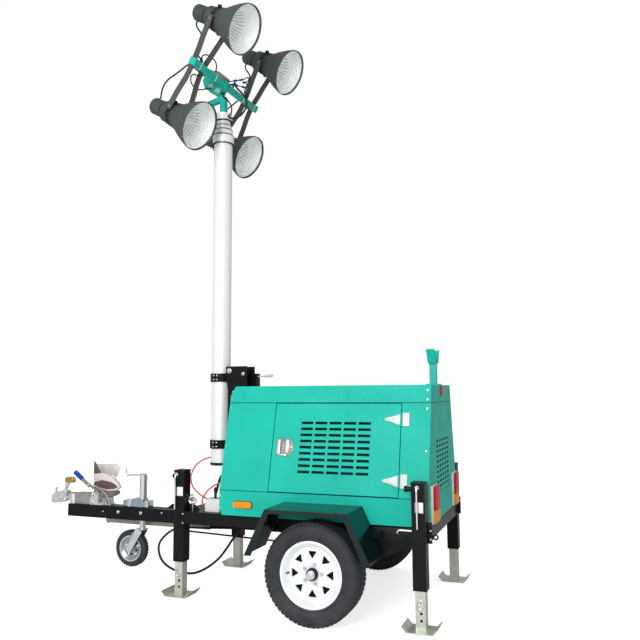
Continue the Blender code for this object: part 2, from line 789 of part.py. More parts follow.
def lean_vector(side):
    """Unit vector up the slope of a canopy side."""
    rise = CANOPY_EAVES - CANOPY_KNEE
    run = CANOPY_HALF_BASE - CANOPY_HALF_EAVES
    return Vector((0, -side * run, rise)).normalized()


def hinge_plate(side, height, start_x, length):
    """A flat leaf lying on the leaning side, around the given height."""
    low = height - HINGE_LEAF_HEIGHT / 2
    high = height + HINGE_LEAF_HEIGHT / 2
    proud = HINGE_LEAF_THICKNESS
    sunk = 0.003
    outline = [
        (side_half_width(low) - sunk, low),
        (side_half_width(low) + proud, low),
        (side_half_width(high) + proud, high),
        (side_half_width(high) - sunk, high),
    ]
    return prism(mirrored(outline, side), start_x, start_x + length, "YZ")


def hinge_axis_offset():
    """Distance of the hinge pin outside the canopy's side."""
    return HINGE_PIN_RADIUS + HINGE_LEAF_THICKNESS + 0.0004


def hinge_knuckle(side, height, start, end):
    """A stretch of the hinge's barrel, given as shares of the leaf's height from its middle."""
    up = lean_vector(side)
    outward = side_half_width(height) + hinge_axis_offset()
    middle = Vector((DOOR_REAR_X, side * outward, height))
    low = middle + up * (HINGE_LEAF_HEIGHT * start)
    high = middle + up * (HINGE_LEAF_HEIGHT * end)
    return rod_between(low, high, HINGE_PIN_RADIUS, 12)


def build_doors():
    low_z = CANOPY_KNEE + DOOR_GAP
    high_z = CANOPY_EAVES - SEAT_GAP - DOOR_GAP
    outline = [
        (side_half_width(low_z), low_z),
        (side_half_width(high_z), high_z),
        (side_half_width(high_z) - WALL, high_z),
        (side_half_width(low_z) - WALL, low_z),
    ]
    front = DOOR_FRONT_X + DOOR_GAP
    rear = DOOR_REAR_X - DOOR_GAP
    cells = slot_rows(
        SLOT_COLUMNS, SLOT_ROWS, SLOT_FRONT_X, SLOT_BOTTOM_Z, SLOT_PITCH_X, SLOT_PITCH_Z, SLOT_LENGTH, SLOT_HEIGHT
    )
    for label, side in SIDES:
        pin_y = side * (CANOPY_HALF_BASE + hinge_axis_offset())
        pivot = new_empty(f"door_{label}_hinge", (DOOR_REAR_X, pin_y, CANOPY_KNEE), TRAILER)
        shift = Matrix.Translation((-DOOR_REAR_X, -pin_y, -CANOPY_KNEE))
        panel_mesh = prism(mirrored(outline, side), front, rear, "YZ")
        panel_mesh.transform(shift)
        door = new_part(f"door_{label}", panel_mesh, "green_paint", pivot)
        near = side * (CANOPY_HALF_EAVES - 0.08)
        far = side * (CANOPY_HALF_BASE + 0.05)
        low_y, high_y = sorted((near, far))
        slots = boxes([((u0, low_y, v0), (u1, high_y, v1)) for u0, v0, u1, v1 in cells])
        slots.transform(shift)
        cut(door, slots)
        for height in HINGE_HEIGHTS:
            strap = hinge_strap(side, height)
            knuckle = hinge_knuckle(side, height, KNUCKLE_GAP - KNUCKLE_SHARE, KNUCKLE_SHARE - KNUCKLE_GAP)
            for mesh in (strap, knuckle, *door_knuckle_plates(side, height)):
                mesh.transform(shift)
                join(door, mesh)


def leaf_block(side, height, start, end, low_x, high_x, low_depth, high_depth):
    """A block on the leaning side: a stretch of the leaf's height, a span along X and a depth outwards."""
    low_z = height + HINGE_LEAF_HEIGHT * start
    high_z = height + HINGE_LEAF_HEIGHT * end
    mesh = box((low_x, low_depth, low_z), (high_x, high_depth, high_z))
    for vertex in mesh.vertices:
        vertex.co.y = side * (vertex.co.y + side_half_width(vertex.co.z))
    if side < 0:
        mesh.flip_normals()
    return mesh


def door_knuckle_plates(side, height):
    """The tongue at the strap's end and the riser that carries the door's knuckle."""
    reach = KNUCKLE_SHARE - KNUCKLE_GAP - 0.050
    pin_depth = hinge_axis_offset()
    strap_end = DOOR_REAR_X - HINGE_PIN_RADIUS - 0.0015
    flat = HINGE_LEAF_THICKNESS
    tongue = leaf_block(
        side, height, -reach, reach, strap_end - 0.010, DOOR_REAR_X - 0.001, 0.0004, flat - 0.0002
    )
    riser = leaf_block(
        side, height, -reach, reach, DOOR_REAR_X - 0.0055, DOOR_REAR_X - 0.0012, flat * 0.5, pin_depth
    )
    return tongue, riser


def hinge_strap(side, height):
    """The pointed strap on the door, ending just short of the barrel."""
    end = DOOR_REAR_X - HINGE_PIN_RADIUS - 0.0015
    tip = end - STRAP_LENGTH
    half = HINGE_LEAF_HEIGHT / 2
    neck = end - 0.045
    outline = [
        (end, height - half),
        (end, height + half),
        (end - 0.012, height + half),
        (neck, height + half * 0.55),
        (tip + 0.014, height + 0.010),
        (tip, height),
        (tip + 0.014, height - 0.010),
        (neck, height - half * 0.55),
        (end - 0.012, height - half),
    ]
    low, high = sorted((side * -0.003, side * HINGE_LEAF_THICKNESS))
    mesh = prism(outline, low, high, "XZ")
    for vertex in mesh.vertices:
        vertex.co.y += side * side_half_width(vertex.co.z)
    return mesh


def build_canopy_ends():
    inner_base = CANOPY_HALF_BASE - WALL - SEAT_GAP
    inner_eaves = CANOPY_HALF_EAVES - WALL - SEAT_GAP
    inner_top = CANOPY_HALF_TOP - WALL - SEAT_GAP
    top = CANOPY_TOP - WALL - SEAT_GAP
    half = [(inner_base, CANOPY_BASE), (inner_base, CANOPY_KNEE), (inner_eaves, CANOPY_EAVES), (inner_top, top)]
    outline = half + [(-u, v) for u, v in reversed(half)]
    front = new_part(
        "canopy_front",
        prism(outline, CANOPY_FRONT_X, CANOPY_FRONT_X + WALL, "YZ"),
        "green_paint",
    )
    cut(front, roof_chamfer_cutter(), sill_chamfer_cutter())
    rear = new_part("canopy_rear", prism(outline, CANOPY_REAR_X - WALL, CANOPY_REAR_X, "YZ"), "green_paint")
    span = (GRILLE_COLUMNS - 1) * GRILLE_PITCH_Y + GRILLE_SLOT_WIDTH
    cells = slot_rows(
        GRILLE_COLUMNS,
        GRILLE_ROWS,
        -span / 2,
        GRILLE_BOTTOM_Z,
        GRILLE_PITCH_Y,
        GRILLE_PITCH_Z,
        GRILLE_SLOT_WIDTH,
        GRILLE_SLOT_HEIGHT,
    )
    low_x = CANOPY_REAR_X - 2 * WALL
    high_x = CANOPY_REAR_X + WALL
    cut(rear, boxes([((low_x, u0, v0), (high_x, u1, v1)) for u0, v0, u1, v1 in cells]))


def sill_chamfer_cutter():
    outline = [
        (CANOPY_FRONT_X - SILL_CHAMFER_X, CANOPY_BASE - SILL_CHAMFER_Z),
        (CANOPY_FRONT_X + 2 * SILL_CHAMFER_X, CANOPY_BASE - SILL_CHAMFER_Z),
        (CANOPY_FRONT_X - SILL_CHAMFER_X, CANOPY_BASE + 2 * SILL_CHAMFER_Z),
    ]
    return prism(outline, -CANOPY_HALF_BASE - WALL, CANOPY_HALF_BASE + WALL, "XZ")


def roof_chamfer_cutter():
    reach = 0.1
    slope = ROOF_CHAMFER_Z / ROOF_CHAMFER_X
    outline = [
        (CANOPY_FRONT_X - reach, CANOPY_TOP - ROOF_CHAMFER_Z - reach * slope),
        (CANOPY_FRONT_X + ROOF_CHAMFER_X + reach, CANOPY_TOP + reach * slope),
        (CANOPY_FRONT_X - reach, CANOPY_TOP + reach * slope),
    ]
    return prism(outline, -CANOPY_HALF_BASE, CANOPY_HALF_BASE, "XZ")


def build_canopy_roof():
    half = [
        (CANOPY_HALF_EAVES, CANOPY_EAVES),
        (CANOPY_HALF_TOP, CANOPY_TOP),
    ]
    inner = [
        (CANOPY_HALF_EAVES - WALL, CANOPY_EAVES),
        (CANOPY_HALF_TOP - WALL, CANOPY_TOP - WALL),
    ]
    outline = half + [(-u, v) for u, v in reversed(half)]
    outline += [(-u, v) for u, v in inner] + list(reversed(inner))
    roof = new_part("canopy_roof", prism(outline, CANOPY_FRONT_X, CANOPY_REAR_X, "YZ"), "green_paint")
    cut(roof, roof_chamfer_cutter())


def build_genset():
    base = RAIL_TOP - DECK_DROP + SEAT_GAP
    half_x = GENSET_LENGTH / 2
    half_y = GENSET_WIDTH / 2
    new_part(
        "genset_block",
        box((-half_x, -half_y, base), (half_x, half_y, base + GENSET_HEIGHT)),
        "black_frame",
    )


def build_mast_support():
    deck = RAIL_TOP - DECK_DROP + SEAT_GAP
    post_rear = CANOPY_FRONT_X - SEAT_GAP
    half_post = SUPPORT_POST_WIDTH / 2
    support = new_part(
        "mast_support",
        box((SUPPORT_POST_FRONT_X, -half_post, deck), (post_rear, half_post, SUPPORT_POST_TOP)),
        "black_frame",
    )
    plate_low = SUPPORT_PLATE_GAP / 2
    plate_high = plate_low + SUPPORT_PLATE_THICKNESS
    outline = [
        (SUPPORT_PLATE_REAR_X, SUPPORT_PLATE_BOTTOM),
        (SUPPORT_PLATE_REAR_X, SUPPORT_PLATE_TOP),
        (SUPPORT_PLATE_FRONT_X, SUPPORT_PLATE_TOP),
        (SUPPORT_PLATE_FRONT_X, PIVOT_Z - 0.045),
        (SUPPORT_POST_FRONT_X, SUPPORT_PLATE_BOTTOM + 0.12),
        (SUPPORT_POST_FRONT_X, SUPPORT_PLATE_BOTTOM),
    ]
    for _, side in SIDES:
        low, high = sorted((side * plate_low, side * plate_high))
        join(support, prism(outline, low, high, "XZ"))
    web_x = SUPPORT_PLATE_REAR_X - 0.022
    join(
        support,
        box((web_x, -plate_high + 0.002, SUPPORT_PLATE_BOTTOM + 0.01), (web_x + 0.015, plate_high - 0.002, 1.37)),
    )
    join(support, box((SUPPORT_POST_FRONT_X + 0.01, -plate_high + 0.002, 1.02), (web_x + 0.01, plate_high - 0.002, 1.06)))
    pin_length = 2 * plate_high + 0.016
    join(support, rod((PIVOT_X, 0, PIVOT_Z), PIVOT_PIN_RADIUS, pin_length, "Y", 16))
    winch_low = plate_high - 0.002
    join(
        support,
        box(
            (SUPPORT_PLATE_REAR_X - WINCH_LENGTH + 0.016, winch_low, PIVOT_Z - 0.020 - WINCH_HEIGHT),
            (SUPPORT_PLATE_REAR_X + 0.016, winch_low + 0.060, PIVOT_Z - 0.020),
        ),
    )


def build_mast():
    pivot = new_empty("mast_tilt_axis", (PIVOT_X, 0, PIVOT_Z), TRAILER)
    offset = (MAST_X - PIVOT_X, 0, -PIVOT_Z)
    for index, (name, radius, collar_radius, collar_bottom, collar_top) in enumerate(MAST_SECTIONS):
        bore = radius - MAST_WALL
        floor = MAST_BOTTOM + index * MAST_FLOOR_STEP
        last = index == len(MAST_SECTIONS) - 1
        if last:
            profile = [
                (0.0, collar_top),
                (collar_radius, collar_top),
                (collar_radius, MAST_CAP_BOTTOM),
                (MAST_NECK_RADIUS, MAST_CAP_BOTTOM),
                (MAST_NECK_RADIUS, collar_bottom),
                (radius, collar_bottom),
                (radius, floor),
                (0.0, floor),
            ]
        else:
            profile = [
                (0.0, floor + MAST_FLOOR_STEP - SEAT_GAP),
                (bore, floor + MAST_FLOOR_STEP - SEAT_GAP),
                (bore, collar_top),
                (collar_radius, collar_top),
                (collar_radius, collar_bottom),
                (radius, collar_bottom),
                (radius, floor),
                (0.0, floor),
            ]
        section = new_part(name, turned(profile), "mast_aluminium", pivot, location=offset)
        smooth(section)


def build_mast_bracket():
    """Two clamp bands, the spine between them and the block that turns on the pivot pin."""
    pivot = bpy.data.objects["mast_tilt_axis"]
    shift = Matrix.Translation((-PIVOT_X, 0, -PIVOT_Z))
    tube_radius = MAST_SECTIONS[0][1]
    inner = tube_radius + SEAT_GAP
    outer = tube_radius + CLAMP_THICKNESS
    meshes = []
    for height in CLAMP_HEIGHTS:
        top = height + CLAMP_HEIGHT / 2
        bottom = height - CLAMP_HEIGHT / 2
        band = [(inner, top), (outer, top), (outer, bottom), (inner, bottom)]
        meshes.append(turned(band, centre=(MAST_X, 0, 0), closed=True))
    spine_front = MAST_X + tube_radius + 0.003
    spine_top = CLAMP_HEIGHTS[1] + CLAMP_HEIGHT / 2 - 0.002
    spine_bottom = CLAMP_HEIGHTS[0] - CLAMP_HEIGHT / 2 + 0.002
    half = SPINE_WIDTH / 2
    meshes.append(box((spine_front, -half, spine_bottom), (spine_front + SPINE_DEPTH, half, spine_top)))
    block_half = PIVOT_BLOCK_WIDTH / 2
    block = [
        (spine_front + 0.001, spine_top - 0.070),
        (PIVOT_X, PIVOT_Z - PIVOT_BLOCK_RADIUS),
    ]
    arc_steps = 8
    for step in range(1, arc_steps):
        turn = -pi / 2 + pi * step / arc_steps
        block.append((PIVOT_X + PIVOT_BLOCK_RADIUS * cos(turn), PIVOT_Z + PIVOT_BLOCK_RADIUS * sin(turn)))
    block.append((PIVOT_X, PIVOT_Z + PIVOT_BLOCK_RADIUS))
    block.append((spine_front + 0.001, spine_top + 0.012))
    meshes.append(prism(block, -block_half, block_half, "XZ"))
    for mesh in meshes:
        mesh.transform(shift)
    bracket = new_part("mast_bracket", meshes[0], "black_frame", pivot)
    join(bracket, *meshes[1:])
    bore = rod((0, 0, 0), PIVOT_PIN_RADIUS + 0.001, PIVOT_BLOCK_WIDTH + 0.02, "Y", 16)
    cut(bracket, bore)


def build_cradle():
    """The saddle that the folded mast lies in."""
    folded_axis = PIVOT_Z + (PIVOT_X - MAST_X)
    tube_radius = MAST_SECTIONS[0][1]
    saddle = folded_axis - tube_radius - CRADLE_CLEARANCE
    base = CANOPY_TOP + SEAT_GAP
    half = CRADLE_POST / 2
    cradle = new_part(
        "mast_cradle",
        box((CRADLE_X - half, -half, base), (CRADLE_X + half, half, saddle - 0.002)),
        "green_paint",
    )
    horn = CRADLE_HORN_Y
    trough = 0.042
    outer = [(-horn - CRADLE_SHEET, saddle + CRADLE_HORN_RISE), (-trough - 0.004, saddle - CRADLE_SHEET)]
    inner = [(-horn, saddle + CRADLE_HORN_RISE), (-trough, saddle)]
    outline = outer + [(-u, v) for u, v in reversed(outer)]
    outline += [(-u, v) for u, v in inner] + list(reversed(inner))
    join(cradle, prism(outline, CRADLE_X - CRADLE_LENGTH / 2, CRADLE_X + CRADLE_LENGTH / 2, "YZ"))
    foot = 0.045
    join(cradle, box((CRADLE_X - foot, -foot, base), (min(CRADLE_X + foot, CANOPY_REAR_X - 0.004), foot, base + 0.008)))


def build_mast_head():
    """The post on the last section, with two cheeks that hold the lamp bar's plate."""
    turn = new_empty("head_turn", (MAST_X, 0, 0), TRAILER, (0, 0, -HEAD_YAW))
    shift = Matrix.Translation((-MAST_X, 0, 0))
    base = MAST_SECTIONS[-1][4] + SEAT_GAP
    half = HEAD_POST_SECTION / 2
    cheek_inner = HEAD_CHEEK_SPACING / 2
    cheek_outer = cheek_inner + HEAD_CHEEK_THICKNESS
    post = box((MAST_X - half, -half, base), (MAST_X + half, half, HEAD_POST_TOP - 0.060))
    arm_front = HEAD_PIVOT_X - 0.105
    outline = [
        (MAST_X + half - 0.002, base + 0.040),
        (MAST_X + half - 0.002, HEAD_POST_TOP - 0.030),
        (HEAD_PIVOT_X + 0.030, HEAD_PIVOT_Z + 0.018),
        (HEAD_PIVOT_X - 0.020, HEAD_PIVOT_Z + 0.018),
        (arm_front, HEAD_POST_TOP - 0.020),
        (arm_front, HEAD_POST_TOP - 0.055),
        (MAST_X - half, base + 0.070),
    ]
    meshes = [post]
    for _, side in SIDES:
        low, high = sorted((side * cheek_inner, side * cheek_outer))
        meshes.append(prism(outline, low, high, "XZ"))
    meshes.append(rod((HEAD_PIVOT_X, 0, HEAD_PIVOT_Z), 0.008, 2 * cheek_outer + 0.012, "Y", 12))
    for mesh in meshes:
        mesh.transform(shift)
    head = new_part("mast_head", meshes[0], "green_paint", turn)
    join(head, *meshes[1:])


def build_lamp_bar():
    turn = bpy.data.objects["head_turn"]
    pivot = new_empty("lamp_bar_axis", (HEAD_PIVOT_X - MAST_X, 0, HEAD_PIVOT_Z), turn, (0, HEAD_TILT, 0))
    half = BAR_SECTION / 2
    bar = new_part(
        "lamp_bar",
        box(
            (BAR_FORWARD - half, -BAR_LENGTH / 2, BAR_RISE - half),
            (BAR_FORWARD + half, BAR_LENGTH / 2, BAR_RISE + half),
        ),
        "green_paint",
        pivot,
    )
    plate_half = HEAD_PLATE_THICKNESS / 2
    reach = 0.026
    plate = [
        (-reach, -reach * 0.6),
        (-reach * 0.5, -reach),
        (reach, -reach),
        (BAR_FORWARD + half - 0.004, BAR_RISE - half + 0.004),
        (BAR_FORWARD - half - 0.020, BAR_RISE - half + 0.004),
    ]
    join(bar, prism(plate, -plate_half, plate_half, "XZ"))
    cut(bar, rod((0, 0, 0), 0.009, 0.05, "Y", 12))


def arm_x():
    """Place of the yoke arms, just behind the bar."""
    return BAR_FORWARD - BAR_SECTION / 2 - SEAT_GAP - ARM_WIDTH / 2


def build_yokes():
    pivot = bpy.data.objects["lamp_bar_axis"]
    top = BAR_RISE + LAMP_RISE + ARM_OVERRUN
    bottom = BAR_RISE - LAMP_DROP - ARM_OVERRUN
    half_width = ARM_WIDTH / 2
    for label, side in SIDES:
        meshes = []
        middle = side * LAMP_SPACING_Y
        for direction in (-1, 1):
            y = middle + direction * (ARM_SPREAD - ARM_THICKNESS / 2)
            low = y - ARM_THICKNESS / 2
            high = y + ARM_THICKNESS / 2
            meshes.append(box((arm_x() - half_width, low, bottom), (arm_x() + half_width, high, top)))
            for height in (BAR_RISE + LAMP_RISE, BAR_RISE - LAMP_DROP):
                length = 0.016
                bolt_y = y + direction * (ARM_THICKNESS / 2 + length / 2 - 0.002)
                meshes.append(rod((arm_x(), bolt_y, height), LAMP_BOLT_RADIUS, length, "Y", 10))
        rung = BAR_SECTION * 0.45
        low = middle - ARM_SPREAD + ARM_THICKNESS / 2
        high = middle + ARM_SPREAD - ARM_THICKNESS / 2
        meshes.append(
            box(
                (arm_x() + half_width - 0.012, low, BAR_RISE - rung),
                (arm_x() + half_width - 0.001, high, BAR_RISE + rung),
            )
        )
        yoke = new_part(f"yoke_{label}", meshes[0], "lamp_grey", pivot)
        join(yoke, *meshes[1:])


def build_lamps():
    pivot = bpy.data.objects["lamp_bar_axis"]
    front = LENS_FORWARD
    outer = [
        # radius, place along the lamp's own axis
        (LENS_RADIUS + 0.004, front + 0.006),
        (LENS_RADIUS + 0.004, front - 0.010),
        (0.160, front - 0.085),
        (0.130, front - 0.180),
        (0.088, -0.010),
        (0.074, -0.045),
        (LAMP_NECK_RADIUS, -0.052),
        (LAMP_NECK_RADIUS, -LAMP_REAR + 0.014),
        (0.048, -LAMP_REAR),
        (0.0, -LAMP_REAR),
    ]
    inner = [
        (0.0, 0.055),
        (0.060, 0.060),
        (0.130 - LAMP_WALL - 0.004, front - 0.180),
        (0.160 - LAMP_WALL, front - 0.085),
        (LENS_RADIUS - LAMP_WALL, front - LENS_THICKNESS - 0.006),
        (LENS_RADIUS - LAMP_WALL, front - LENS_THICKNESS - 0.0003),
        (LENS_RADIUS + 0.0003, front - LENS_THICKNESS - 0.0003),
        (LENS_RADIUS + 0.0003, front + 0.006),
    ]
    lens = [
        (0.0, front + 0.004),
        (LENS_RADIUS * 0.6, front + 0.0025),
        (LENS_RADIUS, front - 0.001),
        (LENS_RADIUS, front - LENS_THICKNESS),
        (0.0, front - LENS_THICKNESS),
    ]
    for row, height in (("upper", LAMP_RISE), ("lower", -LAMP_DROP)):
        for label, side in SIDES:
            place = (arm_x(), side * LAMP_SPACING_Y, BAR_RISE + height)
            axis = new_empty(f"lamp_{row}_{label}_axis", place, pivot)
            housing = new_part(
                f"lamp_{row}_{label}", turned(inner + outer, "X"), "lamp_grey", axis
            )
            lug = ARM_SPREAD - ARM_THICKNESS - SEAT_GAP
            join(housing, rod((0, 0, 0), 0.018, 2 * lug, "Y", 12))
            new_part(f"lens_{row}_{label}", turned(lens, "X"), "glass", axis)


def build_tail_lights():
    for label, side in SIDES:
        middle = side * TAIL_LIGHT_Y
        half = TAIL_LIGHT_WIDTH / 2
        new_part(
            f"tail_light_{label}",
            box(
                (CANOPY_REAR_X + SEAT_GAP, middle - half, TAIL_LIGHT_BOTTOM),
                (CANOPY_REAR_X + TAIL_LIGHT_DEPTH, middle + half, TAIL_LIGHT_BOTTOM + TAIL_LIGHT_HEIGHT),
            ),
            "red_lens",
        )


def build_compressor():
    base = RAIL_TOP - DECK_DROP + SEAT_GAP
    half = COMPRESSOR_WIDTH / 2
    new_part(
        "compressor",
        box(
            (COMPRESSOR_FRONT_X, COMPRESSOR_Y - half, base),
            (COMPRESSOR_FRONT_X + COMPRESSOR_LENGTH, COMPRESSOR_Y + half, base + COMPRESSOR_HEIGHT),
        ),
        "white_plastic",
    )


def build_drawbar():
    half = DRAWBAR_WIDTH / 2
    bottom = DRAWBAR_TOP - DRAWBAR_HEIGHT
    drawbar = new_part(
        "drawbar",
        box((DRAWBAR_TIP_X, -half, bottom), (DRAWBAR_REAR_X, half, DRAWBAR_TOP)),
        "black_frame",
    )
    post = JOCKEY_TUBE_RADIUS + JOCKEY_CLEARANCE
    cut(drawbar, rod((JOCKEY_X, 0, bottom + DRAWBAR_HEIGHT / 2), post + 0.004, DRAWBAR_HEIGHT + 0.02, "Z", 24))
    rod_top = bottom + 0.004
    low = BRAKE_ROD_Y - BRAKE_ROD_WIDTH / 2
    join(
        drawbar,
        box(
            (BRAKE_ROD_FRONT_X, low - 0.001, rod_top - BRAKE_ROD_HEIGHT),
            (BRAKE_ROD_REAR_X, low + BRAKE_ROD_WIDTH, rod_top),
        ),
    )


def build_jockey():
    clamp_base = DRAWBAR_TOP + SEAT_GAP
    clamp_top = clamp_base + JOCKEY_CLAMP_HEIGHT
    half_width = JOCKEY_CLAMP_WIDTH / 2
    clamp = new_part(
        "jockey_clamp",
        box(
            (JOCKEY_X - JOCKEY_CLAMP_FRONT, -half_width, clamp_base),
            (JOCKEY_X + JOCKEY_CLAMP_REAR, half_width, clamp_top),
        ),
        "zinc",
    )
    bore = JOCKEY_TUBE_RADIUS + JOCKEY_CLEARANCE
    cut(clamp, rod((JOCKEY_X, 0, clamp_base + JOCKEY_CLAMP_HEIGHT / 2), bore, JOCKEY_CLAMP_HEIGHT + 0.02, "Z", 24))
    slide = new_empty("jockey_slide_axis", (JOCKEY_X, 0, 0), TRAILER)
    profile = [
        (0.0, JOCKEY_TUBE_TOP + 0.010),
        (0.016, JOCKEY_TUBE_TOP + 0.010),
        (JOCKEY_TUBE_RADIUS, JOCKEY_TUBE_TOP),
        (JOCKEY_TUBE_RADIUS, JOCKEY_TUBE_BOTTOM),
        (JOCKEY_POST_RADIUS, JOCKEY_TUBE_BOTTOM),
        (JOCKEY_POST_RADIUS, JOCKEY_FORK_CROWN - 0.004),
        (0.0, JOCKEY_FORK_CROWN - 0.004),
    ]
    post = new_part("jockey_post", turned(profile, facets=24), "zinc", slide)
    inner = JOCKEY_WHEEL_WIDTH / 2 + 0.009
    outer = inner + JOCKEY_FORK_SHEET
    crown_low = JOCKEY_FORK_CROWN - JOCKEY_FORK_SHEET
    join(post, box((-0.042, -outer + 0.001, crown_low), (0.032, outer - 0.001, JOCKEY_FORK_CROWN)))
    direction = Vector((-JOCKEY_TRAIL, JOCKEY_WHEEL_Z - JOCKEY_FORK_CROWN)).normalized()
    across = Vector((-direction.y, direction.x)) * 0.030
    top = Vector((-0.005, JOCKEY_FORK_CROWN - 0.002))
    low = Vector((-JOCKEY_TRAIL, JOCKEY_WHEEL_Z)) + direction * 0.024
    leg_outline = [tuple(top - across), tuple(top + across), tuple(low + across * 0.7), tuple(low - across * 0.7)]
    for _, side in SIDES:
        start, end = sorted((side * inner, side * outer))
        join(post, prism(leg_outline, start, end, "XZ"))
    axle_length = 2 * outer + 0.012
    join(post, rod((-JOCKEY_TRAIL, 0, JOCKEY_WHEEL_Z), JOCKEY_AXLE_RADIUS, axle_length, "Y", 16))
    crank_z = JOCKEY_TUBE_TOP + 0.002
    crank = [(0, 0, crank_z), (-JOCKEY_CRANK_LENGTH, 0, crank_z - 0.012), (-JOCKEY_CRANK_LENGTH - 0.012, 0, crank_z)]
    crank.append((-JOCKEY_CRANK_LENGTH - 0.012, 0, crank_z + 0.040))
    join(post, tube_along(crank, 0.007))
    wheel_axis = new_empty("jockey_wheel_axis", (-JOCKEY_TRAIL, 0, JOCKEY_WHEEL_Z), slide)
    half = JOCKEY_WHEEL_WIDTH / 2
    radius = JOCKEY_WHEEL_RADIUS
    wheel_profile = [
        (JOCKEY_BORE, half + 0.006),
        (0.024, half + 0.006),
        (0.024, half * 0.3),
        (0.070, half * 0.3),
        (0.086, half * 0.85),
        (0.096, half),
        (radius - 0.020, half),
        (radius, half * 0.55),
        (radius, -half * 0.55),
        (radius - 0.020, -half),
        (0.096, -half),
        (0.086, -half * 0.85),
        (0.070, -half * 0.3),
        (0.024, -half * 0.3),
        (0.024, -half - 0.006),
        (JOCKEY_BORE, -half - 0.006),
    ]
    wheel = new_part("jockey_wheel", turned(wheel_profile, "Y", facets=28, closed=True), "tyre", wheel_axis)
    smooth(wheel)


def build_coupling():
    base = DRAWBAR_TOP + SEAT_GAP
    tube_z = base + COUPLING_TUBE_RADIUS + 0.006
    half = COUPLING_WIDTH / 2
    radius = COUPLING_TUBE_RADIUS
    tip = COUPLING_TIP_X
    shank = turned(
        [
            (0.0, COUPLING_REAR_X - 0.02),
            (radius, COUPLING_REAR_X - 0.02),
            (radius, DRAWBAR_TIP_X + 0.006),
            (radius * 0.72, DRAWBAR_TIP_X - 0.004),
            (radius * 0.72, tip + 0.110),
            (0.0, tip + 0.110),
        ],
        "X",
        (0, 0, tube_z),
        20,
    )
    coupling = new_part("coupling", shank, "zinc")
    front_block = DRAWBAR_TIP_X + 0.006
    join(coupling, box((front_block, -half, base), (front_block + 0.028, half, tube_z + radius + 0.006)))
    join(coupling, box((COUPLING_FLANGE_X, -half, base), (COUPLING_REAR_X, half, tube_z + 0.010)))
    cheek = [
        (COUPLING_FLANGE_X + 0.002, tube_z),
        (COUPLING_REAR_X - 0.002, tube_z),
        (COUPLING_REAR_X - 0.020, tube_z + radius + 0.020),
        (COUPLING_FLANGE_X + 0.020, tube_z + radius + 0.026),
    ]
    join(coupling, prism(cheek, -half + 0.004, half - 0.004, "XZ"))
    head = [
        (tip, tube_z - 0.038),
        (tip + 0.020, tube_z - 0.046),
        (tip + 0.100, tube_z - 0.040),
        (tip + 0.150, tube_z - 0.022),
        (tip + 0.150, tube_z + 0.022),
        (tip + 0.100, tube_z + 0.036),
        (tip + 0.030, tube_z + 0.040),
        (tip, tube_z + 0.012),
    ]
    join(coupling, prism(head, -0.034, 0.034, "XZ"))
    socket = bmesh.new()
    bmesh.ops.create_uvsphere(socket, u_segments=16, v_segments=10, radius=0.0255)
    bmesh.ops.translate(socket, verts=socket.verts, vec=(tip + 0.045, 0, tube_z - 0.044))
    cut(coupling, mesh_from(socket, "ball_socket"))
    handle = [
        (tip + 0.100, 0, tube_z + 0.020),
        (tip + 0.120, 0, tube_z + 0.075),
        (tip + COUPLING_HANDLE_REACH - 0.050, 0, tube_z + COUPLING_HANDLE_RISE - 0.020),
        (tip + COUPLING_HANDLE_REACH, 0, tube_z + COUPLING_HANDLE_RISE),
    ]
    join(coupling, tube_along(handle, 0.012))
    join(coupling, rod_between((tip + 0.012, 0, tube_z), (tip + 0.020, 0, tube_z + 0.075), 0.009))


def build_brake_lever():
    axis = new_empty("brake_lever_axis", (BRAKE_PIVOT_X, BRAKE_LEVER_Y, BRAKE_PIVOT_Z), TRAILER)
    knee = Vector((-BRAKE_KNEE_REACH, 0, BRAKE_KNEE_RISE))
    tip = Vector((-BRAKE_GRIP_REACH, 0, BRAKE_GRIP_RISE))
    grip_start = knee.lerp(tip, BRAKE_GRIP_START)
    grip_inner = knee.lerp(tip, BRAKE_GRIP_START - BRAKE_GRIP_OVERLAP)
    hub_far = BRAKE_LEVER_RADIUS + 0.002
    hub_near = -COUPLING_WIDTH / 2 - SEAT_GAP - BRAKE_LEVER_Y
    hub = rod((0, (hub_near - hub_far) / 2, 0), 0.022, hub_near + hub_far, "Y", 14)
    lever = new_part("brake_lever", hub, "zinc", axis)
    join(lever, tube_along([(0, 0, 0), (-0.030, 0, 0.060), knee, grip_start], BRAKE_LEVER_RADIUS))
    join(lever, rod_between(grip_inner, tip, BRAKE_GRIP_RADIUS))


